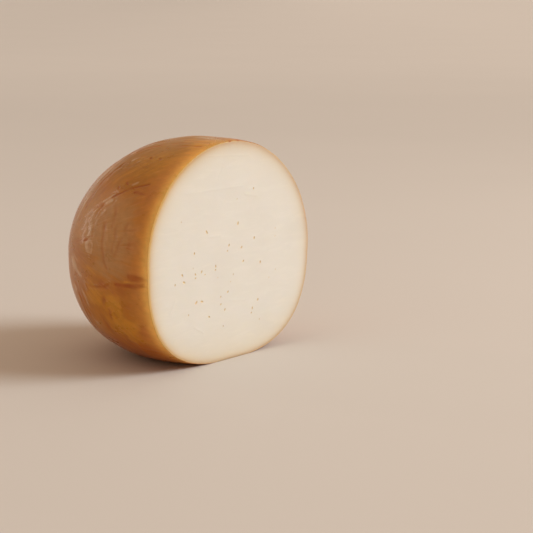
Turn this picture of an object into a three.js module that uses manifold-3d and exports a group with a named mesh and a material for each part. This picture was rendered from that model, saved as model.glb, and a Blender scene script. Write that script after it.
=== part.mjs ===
// The back two thirds of a smoked provolone ball, cut across with a knife and lying on its side.
// Millimetres, +Z up. The cut face looks along -Y and the rounded end points along +Y. The origin is
// at the middle of the underside. The ball has settled a little under its own weight, so it stands on
// a small flat patch of rind.

import * as THREE from "three";
import { mergeVertices } from "three/addons/utils/BufferGeometryUtils.js";
import Module from "manifold-3d";

// ---------------------------------------------------------------- driving dimensions, mm

// "Depth" is measured back from the cut face. The girth is where the ball is fullest.
const LENGTH = 100; // cut face to the tip of the rounded end
const GIRTH_DEPTH = 17; // cut face to the girth
const HALF_WIDTH = 68.3; // at the girth
const TOP_HEIGHT = 125.1; // of the girth, above the table
const CUT_SHARE = 0.98; // size of the section at the cut, as a share of the girth
const SAG = 2.1; // how far the round underside would dip below the table had it not flattened
const CUT_SAG = 0.7; // the same, at the cut
const CUT_MIDDLE = 59.9; // height of the section's widest line at the cut
const TIP_HEIGHT = 56.9; // height of the rounded end's tip

// How square the ball is: 2 is a plain ellipse, more is fuller in the shoulders.
const FULLNESS = { side: 2.46, top: 2.27, under: 2.9 }; // seen along the ball's length
const UNDER_ROUND = { cut: 2.6, girth: 2.9, tip: 2 }; // lower half of a section
const TOP_ROUND = 2; // upper half of a section

// Creases of the drawn skin: [depth, turn] at each end, turn in degrees about the ball's long axis
// from +X over the top, with the groove's depth and half width.
const CREASES = [
  { from: [5, 182], to: [18, 183], deep: 0.4, wide: 2.4 },
  { from: [5, 185], to: [27, 189], deep: 0.6, wide: 2.4 },
  { from: [27, 189], to: [60, 190], deep: 0.3, wide: 2.4 },
  { from: [12, 139], to: [34, 147], deep: 0.5, wide: 2.2 },
  { from: [36, 149], to: [48, 171], deep: -0.3, wide: 3.0 },
  { from: [27, 204], to: [24, 214], deep: 0.3, wide: 2.4 },
  { from: [8, 107], to: [22, 110], deep: 0.3, wide: 2.2 },
  { from: [6, 352], to: [34, 346], deep: 0.6, wide: 2.4 },
  { from: [22, 38], to: [52, 31], deep: 0.5, wide: 2.4 },
  { from: [52, 31], to: [70, 38], deep: 0.4, wide: 2.4 },
  { from: [62, 118], to: [84, 96], deep: 0.5, wide: 2.4 },
  { from: [58, 8], to: [80, 350], deep: 0.5, wide: 2.6 },
];
const LIP = 0.3; // height of the soft lip beside a crease, as a share of the crease's depth

// Slow unevenness of the hand-drawn ball: [height, waves along the length, waves round it, phase].
const SWELLS = [
  [0.2, 1.3, 2, 0.4],
  [0.2, 2.1, 3, 2.1],
  [0.15, 3.4, 5, 4.0],
];

// Eyes opened by the knife: [x, height, length, breadth, tilt in degrees] on the cut face.
const EYES = [
  [5, 77, 2.6, 1.3, 70],
  [-21, 75, 3.0, 1.3, 125],
  [19, 67, 2.2, 1.4, 80],
  [-3, 65, 2.2, 1.3, 60],
  [8, 63, 2.2, 1.2, 40],
  [-31, 65, 1.8, 1.2, 90],
  [9, 55, 2.0, 1.2, 30],
  [24, 52, 2.0, 1.4, 80],
  [-14, 54, 2.2, 1.2, 95],
  [-25, 54, 2.2, 1.2, 60],
  [-30, 52, 2.4, 1.3, 115],
  [-40, 54, 2.2, 1.3, 120],
  [-39, 50, 2.6, 1.4, 155],
  [-4, 39, 2.0, 1.2, 40],
  [22, 30, 2.0, 1.4, 60],
  [-30, 37, 3.0, 1.4, 40],
  [-25, 37, 2.6, 1.4, 165],
  [-8, 31, 2.4, 1.3, 50],
  [17, 25, 2.4, 1.3, 80],
  [-19, 27, 2.0, 1.2, 150],
];
const EYE_DEPTH = 1.1; // how far an eye goes into the paste

// Fineness of the faceted surface.
const RINGS = 46; // from the cut to the tip
const RING_POINTS = 120; // round a full ring
const SHORTEST_STEP = 1.9; // below this spacing a ring has half as many points
const FEWEST_POINTS = 8; // round the smallest ring
const EYE_SIDES = 8; // round an eye
const EYE_BANDS = 6; // from one end of an eye to the other
const SEAM = 1e-4; // corners closer than this are one

// ---------------------------------------------------------------- the ball's form

const radians = THREE.MathUtils.degToRad;

// Half size at a depth, as a share of the girth: a superellipse behind the girth, and a gentle
// closing-in from the girth to the cut.
function closing(depth, fullness, cutShare) {
  if (depth < GIRTH_DEPTH) {
    return 1 - (1 - cutShare) * (1 - depth / GIRTH_DEPTH) ** 2;
  }
  const along = (depth - GIRTH_DEPTH) / (LENGTH - GIRTH_DEPTH);
  return Math.max(1 - along ** fullness, 0) ** (1 / fullness);
}

// Squareness of the lower half of the section at a depth.
function underRound(depth) {
  if (depth < GIRTH_DEPTH) {
    return THREE.MathUtils.lerp(UNDER_ROUND.cut, UNDER_ROUND.girth, (depth / GIRTH_DEPTH) ** 2);
  }
  const along = (depth - GIRTH_DEPTH) / (LENGTH - GIRTH_DEPTH);
  return THREE.MathUtils.lerp(UNDER_ROUND.girth, UNDER_ROUND.tip, along ** 2);
}

// The section at a depth: two half superellipses that meet at its widest line.
function sectionAt(depth) {
  const middle = THREE.MathUtils.lerp(CUT_MIDDLE, TIP_HEIGHT, (depth / LENGTH) ** 2);
  const sagShare = (TIP_HEIGHT + CUT_SAG) / (TIP_HEIGHT + SAG);
  const top = TIP_HEIGHT + (TOP_HEIGHT - TIP_HEIGHT) * closing(depth, FULLNESS.top, CUT_SHARE);
  const bottom = TIP_HEIGHT - (TIP_HEIGHT + SAG) * closing(depth, FULLNESS.under, sagShare);
  return {
    middle,
    halfWidth: HALF_WIDTH * closing(depth, FULLNESS.side, CUT_SHARE),
    up: top - middle,
    down: middle - bottom,
    underRound: underRound(depth),
  };
}

// Distance from the widest line's middle to the skin of a section, at a turn in radians.
function reach(section, turn) {
  const upper = Math.sin(turn) >= 0;
  const power = upper ? TOP_ROUND : section.underRound;
  const across = Math.abs(Math.cos(turn) / section.halfWidth) ** power;
  const upright = Math.abs(Math.sin(turn) / (upper ? section.up : section.down)) ** power;
  return (across + upright) ** (-1 / power);
}

// The smallest turn, in radians, from one direction to another.
function turnBetween(from, to) {
  return Math.atan2(Math.sin(to - from), Math.cos(to - from));
}

// Groove of one crease at a point of the skin, with the point's radius to turn angles into lengths.
function creaseRelief(crease, depth, turn, radius) {
  const [depthA, turnA] = [crease.from[0], radians(crease.from[1])];
  const [depthB, turnB] = [crease.to[0], radians(crease.to[1])];
  const alongX = depthB - depthA;
  const alongY = turnBetween(turnA, turnB) * radius;
  const fromA = [depth - depthA, turnBetween(turnA, turn) * radius];
  const share = (fromA[0] * alongX + fromA[1] * alongY) / (alongX ** 2 + alongY ** 2);
  const nearest = THREE.MathUtils.clamp(share, 0, 1);
  const away = Math.hypot(fromA[0] - nearest * alongX, fromA[1] - nearest * alongY) / crease.wide;
  return -crease.deep * (Math.exp(-(away ** 2)) - LIP * Math.exp(-((away - 2) ** 2)));
}

// How far the skin stands out from the smooth form. It fades to nothing at the tip.
function relief(depth, turn, radius) {
  const along = depth / LENGTH;
  let height = 0;
  for (const [swell, wavesAlong, wavesRound, phase] of SWELLS) {
    const lengthwise = Math.sin(2 * Math.PI * wavesAlong * along + phase);
    height += swell * lengthwise * Math.sin(wavesRound * turn + phase);
  }
  for (const crease of CREASES) {
    height += creaseRelief(crease, depth, turn, radius);
  }
  return height * Math.min(radius / HALF_WIDTH, 1);
}

// A point of the skin. The table flattens whatever would reach below it.
function skinPoint(depth, turn) {
  const section = sectionAt(depth);
  const smooth = reach(section, turn);
  const radius = smooth + relief(depth, turn, smooth);
  const height = section.middle + radius * Math.sin(turn);
  return new THREE.Vector3(radius * Math.cos(turn), depth, Math.max(height, 0));
}

// ---------------------------------------------------------------- the closed skin

// One ring of the skin, with half as many points where it has become small.
function ringAt(index) {
  const depth = LENGTH * Math.sin((Math.PI / 2) * (index / RINGS));
  const girth = 2 * Math.PI * sectionAt(depth).halfWidth;
  let count = RING_POINTS;
  while (girth / count < SHORTEST_STEP && count > FEWEST_POINTS) {
    count /= 2;
  }
  return Array.from({ length: count }, (_, step) => skinPoint(depth, (2 * Math.PI * step) / count));
}

// Triangles between two rings, which may differ in their number of points.
function stitch(front, back, triangles) {
  let a = 0;
  let b = 0;
  while (a < front.length || b < back.length) {
    const here = front[a % front.length];
    const there = back[b % back.length];
    if ((a + 1) / front.length <= (b + 1) / back.length) {
      triangles.push(here, there, front[(a + 1) % front.length]);
      a += 1;
    } else {
      triangles.push(here, there, back[(b + 1) % back.length]);
      b += 1;
    }
  }
}

// Triangles from a ring to one point. The ring is the front one or the back one of its pair.
function fan(ring, point, faces, triangles) {
  ring.forEach((here, step) => {
    const next = ring[(step + 1) % ring.length];
    triangles.push(...(faces === "front" ? [here, next, point] : [next, here, point]));
  });
}

function skinGeometry() {
  const triangles = [];
  const rings = Array.from({ length: RINGS }, (_, index) => ringAt(index));
  fan(rings[0], new THREE.Vector3(0, 0, CUT_MIDDLE), "front", triangles);
  rings.slice(1).forEach((back, index) => stitch(rings[index], back, triangles));
  fan(rings[RINGS - 1], new THREE.Vector3(0, LENGTH, TIP_HEIGHT), "back", triangles);
  return new THREE.BufferGeometry().setFromPoints(triangles);
}

// One eye: a shallow egg-shaped pit, half of it in front of the cut.
function eyeGeometry([x, height, length, breadth, tilt]) {
  return new THREE.SphereGeometry(1, EYE_SIDES, EYE_BANDS)
    .scale(length / 2, EYE_DEPTH, breadth / 2)
    .rotateY(-radians(tilt))
    .translate(x, 0, height);
}

// ---------------------------------------------------------------- solids and the assembled part

const wasm = await Module();
wasm.setup();

function solidOf(geometry) {
  const bare = new THREE.BufferGeometry().setAttribute("position", geometry.getAttribute("position"));
  bare.setIndex(geometry.getIndex());
  const merged = mergeVertices(bare, SEAM);
  return new wasm.Manifold(
    new wasm.Mesh({
      numProp: 3,
      vertProperties: merged.getAttribute("position").array,
      triVerts: new Uint32Array(merged.getIndex().array),
    }),
  );
}

function geometryOf(solid) {
  const mesh = solid.getMesh();
  return new THREE.BufferGeometry()
    .setAttribute("position", new THREE.BufferAttribute(new Float32Array(mesh.vertProperties), 3))
    .setIndex(new THREE.BufferAttribute(new Uint32Array(mesh.triVerts), 1));
}

// The whole cheese, moved so that the middle of its underside is the origin.
function cheeseGeometry() {
  const eyes = EYES.map((eye) => solidOf(eyeGeometry(eye)));
  const geometry = geometryOf(eyes.reduce((solid, eye) => solid.subtract(eye), solidOf(skinGeometry())));
  geometry.computeBoundingBox();
  const { min, max } = geometry.boundingBox;
  geometry.translate(-(min.x + max.x) / 2, -(min.y + max.y) / 2, -min.z);
  geometry.computeVertexNormals();
  return geometry;
}

const cheese = new THREE.Mesh(
  cheeseGeometry(),
  new THREE.MeshStandardMaterial({ color: 0xa9652f, roughness: 0.42, metalness: 0 }),
);
cheese.name = "provolone";

const part = new THREE.Group();
part.add(cheese);

export default part;
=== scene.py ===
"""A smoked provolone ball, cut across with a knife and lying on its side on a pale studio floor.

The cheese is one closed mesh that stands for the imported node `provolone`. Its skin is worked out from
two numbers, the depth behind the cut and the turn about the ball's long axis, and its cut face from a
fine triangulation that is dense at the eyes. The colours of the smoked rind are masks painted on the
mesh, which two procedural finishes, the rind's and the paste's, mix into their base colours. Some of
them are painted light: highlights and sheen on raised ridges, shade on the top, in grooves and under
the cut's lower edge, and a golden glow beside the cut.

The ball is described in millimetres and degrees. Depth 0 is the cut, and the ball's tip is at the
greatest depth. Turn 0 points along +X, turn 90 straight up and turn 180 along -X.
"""

from __future__ import annotations

import logging
import math
from collections.abc import Iterable, Sequence
from dataclasses import dataclass, field
from enum import Enum
from typing import NamedTuple

import bpy
import numpy as np
from mathutils import Euler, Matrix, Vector
from mathutils.geometry import delaunay_2d_cdt

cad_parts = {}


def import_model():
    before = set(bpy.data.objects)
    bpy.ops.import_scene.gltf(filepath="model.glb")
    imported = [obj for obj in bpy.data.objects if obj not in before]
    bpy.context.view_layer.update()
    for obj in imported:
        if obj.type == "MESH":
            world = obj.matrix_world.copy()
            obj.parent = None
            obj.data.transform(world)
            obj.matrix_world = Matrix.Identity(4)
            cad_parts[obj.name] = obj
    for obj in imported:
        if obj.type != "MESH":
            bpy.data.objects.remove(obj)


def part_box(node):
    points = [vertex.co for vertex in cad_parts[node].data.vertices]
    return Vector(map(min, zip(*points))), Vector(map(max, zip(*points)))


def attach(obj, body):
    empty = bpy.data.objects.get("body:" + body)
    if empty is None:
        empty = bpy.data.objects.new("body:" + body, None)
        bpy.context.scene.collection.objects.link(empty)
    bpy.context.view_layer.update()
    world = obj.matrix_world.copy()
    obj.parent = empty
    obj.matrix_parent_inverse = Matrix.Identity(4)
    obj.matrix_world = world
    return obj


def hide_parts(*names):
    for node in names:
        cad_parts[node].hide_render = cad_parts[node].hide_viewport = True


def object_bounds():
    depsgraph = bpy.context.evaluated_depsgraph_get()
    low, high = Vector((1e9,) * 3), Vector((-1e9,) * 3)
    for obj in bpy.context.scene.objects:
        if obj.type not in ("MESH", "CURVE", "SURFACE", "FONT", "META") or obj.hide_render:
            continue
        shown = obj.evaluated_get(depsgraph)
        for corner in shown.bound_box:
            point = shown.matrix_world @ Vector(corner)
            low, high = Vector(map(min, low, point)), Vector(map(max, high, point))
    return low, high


log = logging.getLogger("provolone")

MM = 0.001
NODE = "provolone"
BODY = "root"

Array = np.ndarray
Colour = tuple[float, float, float]
# A depth in mm and a turn in degrees, an x and a height, or the two ends of a range.
Place = tuple[float, float]
Socket = bpy.types.NodeSocket
# What a node's input can get. A socket is linked.
Value = float | Colour | Vector | Socket

WHITE: Colour = (1.0, 1.0, 1.0)


def smooth_step(low: float, high: float, value: Array) -> Array:
    """Rises from 0 at low to 1 at high as 3t^2 - 2t^3.

    Args:
        low: Where the rise starts.
        high: Where the rise ends. It may be less than low, for a fall.
        value: Any array.

    Returns:
        The step at each value.
    """
    share = np.clip((value - low) / (high - low), 0.0, 1.0)
    return share * share * (3.0 - 2.0 * share)


def turned(along: Array, across: Array, degrees: float) -> tuple[Array, Array]:
    """The two parts of a way, seen in a frame that is turned by an angle.

    Args:
        along: First part.
        across: Second part.
        degrees: Angle from the first part's direction towards the second's.

    Returns:
        The way's first and second part in the turned frame.
    """
    cosine, sine = math.cos(math.radians(degrees)), math.sin(math.radians(degrees))
    return along * cosine + across * sine, across * cosine - along * sine


def direction(azimuth: float, elevation: float) -> Vector:
    """Unit vector of a direction.

    Args:
        azimuth: Degrees from +X towards +Y.
        elevation: Degrees above the floor.

    Returns:
        The vector.
    """
    level = math.cos(math.radians(elevation))
    x = level * math.cos(math.radians(azimuth))
    y = level * math.sin(math.radians(azimuth))
    return Vector((x, y, math.sin(math.radians(elevation))))


def placed(name: str, data: bpy.types.ID) -> bpy.types.Object:
    """Puts a new object into the scene, at the origin.

    Args:
        name: The object's name.
        data: Its mesh, light or camera.

    Returns:
        The object.
    """
    thing = bpy.data.objects.new(name, data)
    bpy.context.collection.objects.link(thing)
    return thing


class Noise:
    """Smooth seeded noise in three dimensions, about -1 to 1.

    Each corner of a unit lattice holds a random slope. The value at a point is the dot product of
    each slope with the way from its corner, blended over the eight corners by 6t^5 - 15t^4 + 10t^3.
    """

    # Number of slopes, and the factor that brings the sum to about -1 to 1.
    SLOPES = 256
    GAIN = 1.6

    def __init__(self, seed: int) -> None:
        """Draws the lattice's slopes.

        Args:
            seed: Seed of the random draw.
        """
        draw = np.random.default_rng(seed)
        slopes = draw.normal(size=(self.SLOPES, 3))
        self.slopes = slopes / np.linalg.norm(slopes, axis=1, keepdims=True)
        self.order = draw.permutation(self.SLOPES)

    def at(self, points: Array, size: float) -> Array:
        """Noise at points.

        Args:
            points: Points, one a row.
            size: Width of one lattice cell, in the points' own unit.

        Returns:
            One value a point.
        """
        scaled = points / size
        cell = np.floor(scaled).astype(int)
        inside = scaled - cell
        blend = inside**3 * (inside * (inside * 6.0 - 15.0) + 10.0)
        total = np.zeros(len(points))
        for corner in np.ndindex(2, 2, 2):
            step = np.array(corner)
            mixed = np.zeros(len(points), dtype=int)
            for axis in range(3):
                mixed = self.order[(mixed + cell[:, axis] + step[axis]) % self.SLOPES]
            weight = np.prod(np.where(step == 1, blend, 1.0 - blend), axis=1)
            total += weight * np.einsum("ij,ij->i", self.slopes[mixed], inside - step)
        return total * self.GAIN


# ------------------------------------------------------------------------------------ the ball's form


class Spots(NamedTuple):
    """Points of the skin: depth behind the cut, turn in radians, distance from the section's middle."""

    depth: Array
    turn: Array
    radius: Array

    def round_from(self, degrees: float) -> Array:
        """Distance round the ball from a turn in degrees, along the skin."""
        gap = self.turn - math.radians(degrees)
        return np.arctan2(np.sin(gap), np.cos(gap)) * self.radius


class Section(NamedTuple):
    """One section across the ball: two half superellipses that meet at its widest line."""

    middle: Array
    half_width: Array
    up: Array
    down: Array
    under_round: Array


@dataclass(frozen=True)
class BallForm:
    """The smooth form of the ball in millimetres, before creases and eyes.

    The girth is the widest section, a little behind the cut.
    """

    length: float = 100.0
    girth_depth: float = 17.0
    half_width: float = 68.3
    top_height: float = 125.1
    # Size of the cut as a share of the girth.
    cut_share: float = 0.98
    # How far the round underside would reach below the table, at the girth and at the cut.
    sag: float = 2.1
    cut_sag: float = 0.7
    # Height of a section's widest line, at the cut and at the tip.
    cut_middle: float = 59.9
    tip_height: float = 56.9
    # Powers of the superellipses that close the ball towards its tip.
    side_fullness: float = 2.46
    top_fullness: float = 2.27
    under_fullness: float = 2.9
    # Powers of a section's own superellipses.
    under_round_cut: float = 2.6
    under_round_girth: float = 2.9
    under_round_tip: float = 2.0
    top_round: float = 2.0

    def along(self, depth: Array) -> Array:
        """Share of the way from the girth to the tip, 0 in front of the girth."""
        return np.clip((depth - self.girth_depth) / (self.length - self.girth_depth), 0.0, 1.0)

    def closing(self, depth: Array, fullness: float, cut_share: float) -> Array:
        """Half size at a depth, as a share of the girth's.

        Behind the girth it is the superellipse (1 - a^n)^(1/n) of the share a of the way to the tip.
        In front of the girth it falls off with the square of the distance, down to cut_share.

        Args:
            depth: Depth behind the cut.
            fullness: The superellipse's power n.
            cut_share: Share that is left at the cut.

        Returns:
            The share at each depth.
        """
        behind = np.maximum(1.0 - self.along(depth) ** fullness, 0.0) ** (1.0 / fullness)
        ahead = np.clip(1.0 - depth / self.girth_depth, 0.0, 1.0)
        return np.where(depth < self.girth_depth, 1.0 - (1.0 - cut_share) * ahead**2, behind)

    def section(self, depth: Array) -> Section:
        """The section at each depth.

        Args:
            depth: Depth behind the cut.

        Returns:
            Its middle height, half width, upper and lower half heights, and lower squareness.
        """
        drop = (self.tip_height - self.cut_middle) * (depth / self.length) ** 2
        middle = self.cut_middle + drop
        sunk = self.tip_height + self.sag
        cut_share_under = (self.tip_height + self.cut_sag) / sunk
        top = self.closing(depth, self.top_fullness, self.cut_share)
        under = self.closing(depth, self.under_fullness, cut_share_under)
        front = np.clip(depth / self.girth_depth, 0.0, 1.0) ** 2
        squareness = self.under_round_cut + (self.under_round_girth - self.under_round_cut) * front
        rear = self.along(depth) ** 2
        squareness = squareness + (self.under_round_tip - self.under_round_girth) * rear
        return Section(
            middle=middle,
            half_width=self.half_width * self.closing(depth, self.side_fullness, self.cut_share),
            up=self.tip_height + (self.top_height - self.tip_height) * top - middle,
            down=middle - (self.tip_height - sunk * under),
            under_round=squareness,
        )

    def reach(self, depth: Array, turn: Array) -> Array:
        """Distance from the section's middle to the smooth skin.

        With c and s the cosine and sine of the turn, it is (|c / w|^p + |s / h|^p)^(-1/p) for the
        half width w and the upper or lower half height h.

        Args:
            depth: Depth behind the cut.
            turn: Turn in radians.

        Returns:
            The distance at each point.
        """
        section = self.section(depth)
        upper = np.sin(turn) >= 0.0
        power = np.where(upper, self.top_round, section.under_round)
        upright = np.where(upper, section.up, section.down)
        across = np.abs(np.cos(turn) / section.half_width) ** power
        return (across + np.abs(np.sin(turn) / upright) ** power) ** (-1.0 / power)

    def place(self, spots: Spots) -> Array:
        """Where points of the skin are, none below the table.

        Args:
            spots: Points of the skin.

        Returns:
            Points as rows of x, depth, height.
        """
        depth, turn, radius = spots
        height = self.section(depth).middle + radius * np.sin(turn)
        return np.stack([radius * np.cos(turn), depth, np.maximum(height, 0.0)], axis=-1)


# ------------------------------------------------------------------------------- marks on the skin


class Tint(Enum):
    """The colourings of the smoked rind. Each is one mask of the mesh, named as here. The pale
    highlight is mostly painted highlights and sheen, the top shade is painted shade, and the dark marks
    are partly painted shade.
    """

    DEEP = "deep"
    TAN = "tan"
    GOLD = "gold"
    RUST = "rust"
    # Pale marks: mostly painted highlights and sheen, partly a paler rind.
    PALE = "pale"
    # Dark marks: the rind's dark veins, also painted shade in grooves, below a fold and under the cut's
    # lower edge.
    DARK = "dark"
    # Painted shade that dims and warms the top of the ball.
    SMOKE = "smoke"


@dataclass(frozen=True)
class Crease:
    """A drawn line of colour on the skin, sunk as a groove, or raised where deep is negative. The pale
    lines on raised ridges are painted highlights, and the dark lines in grooves are partly painted
    shade.

    Sizes are in mm. A strength above 1 keeps the colour whole where the line fades a little.
    """

    path: tuple[Place, ...]
    wide: float
    deep: float
    tint: Tint
    strength: float

    def away(self, spots: Spots) -> Array:
        """Distance along the skin from the line.

        The skin is unrolled to depth against turn times radius, where each stretch is straight.

        Args:
            spots: Points of the skin.

        Returns:
            The distance to the nearest stretch, as a share of the line's half width.
        """
        nearest = np.full(len(spots.depth), np.inf)
        for (depth_a, turn_a), (depth_b, turn_b) in zip(self.path, self.path[1:]):
            depth, across = spots.depth - depth_a, spots.round_from(turn_a)
            length = depth_b - depth_a
            breadth = math.radians(math.remainder(turn_b - turn_a, 360.0)) * spots.radius
            share = (depth * length + across * breadth) / (length**2 + breadth**2)
            share = np.clip(share, 0.0, 1.0)
            nearest = np.minimum(nearest, np.hypot(depth - share * length, across - share * breadth))
        return nearest / self.wide


@dataclass(frozen=True)
class Patch:
    """A soft-edged patch on the skin, of a colour or, without a tint, of wrinkles.

    Half sizes are in mm and the tilt in degrees.
    """

    middle: Place
    half_along: float
    half_round: float
    tint: Tint | None
    strength: float
    tilt: float = 0.0

    def share(self, spots: Spots) -> Array:
        """How far points belong to the patch: exp(-r^4) of their elliptic distance r.

        Args:
            spots: Points of the skin.

        Returns:
            The share of each point.
        """
        away = spots.depth - self.middle[0], spots.round_from(self.middle[1])
        along, across = turned(*away, self.tilt)
        return np.exp(-(((along / self.half_along) ** 2 + (across / self.half_round) ** 2) ** 2))


DEEP, TAN, GOLD, RUST, PALE, DARK, SMOKE = Tint
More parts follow.
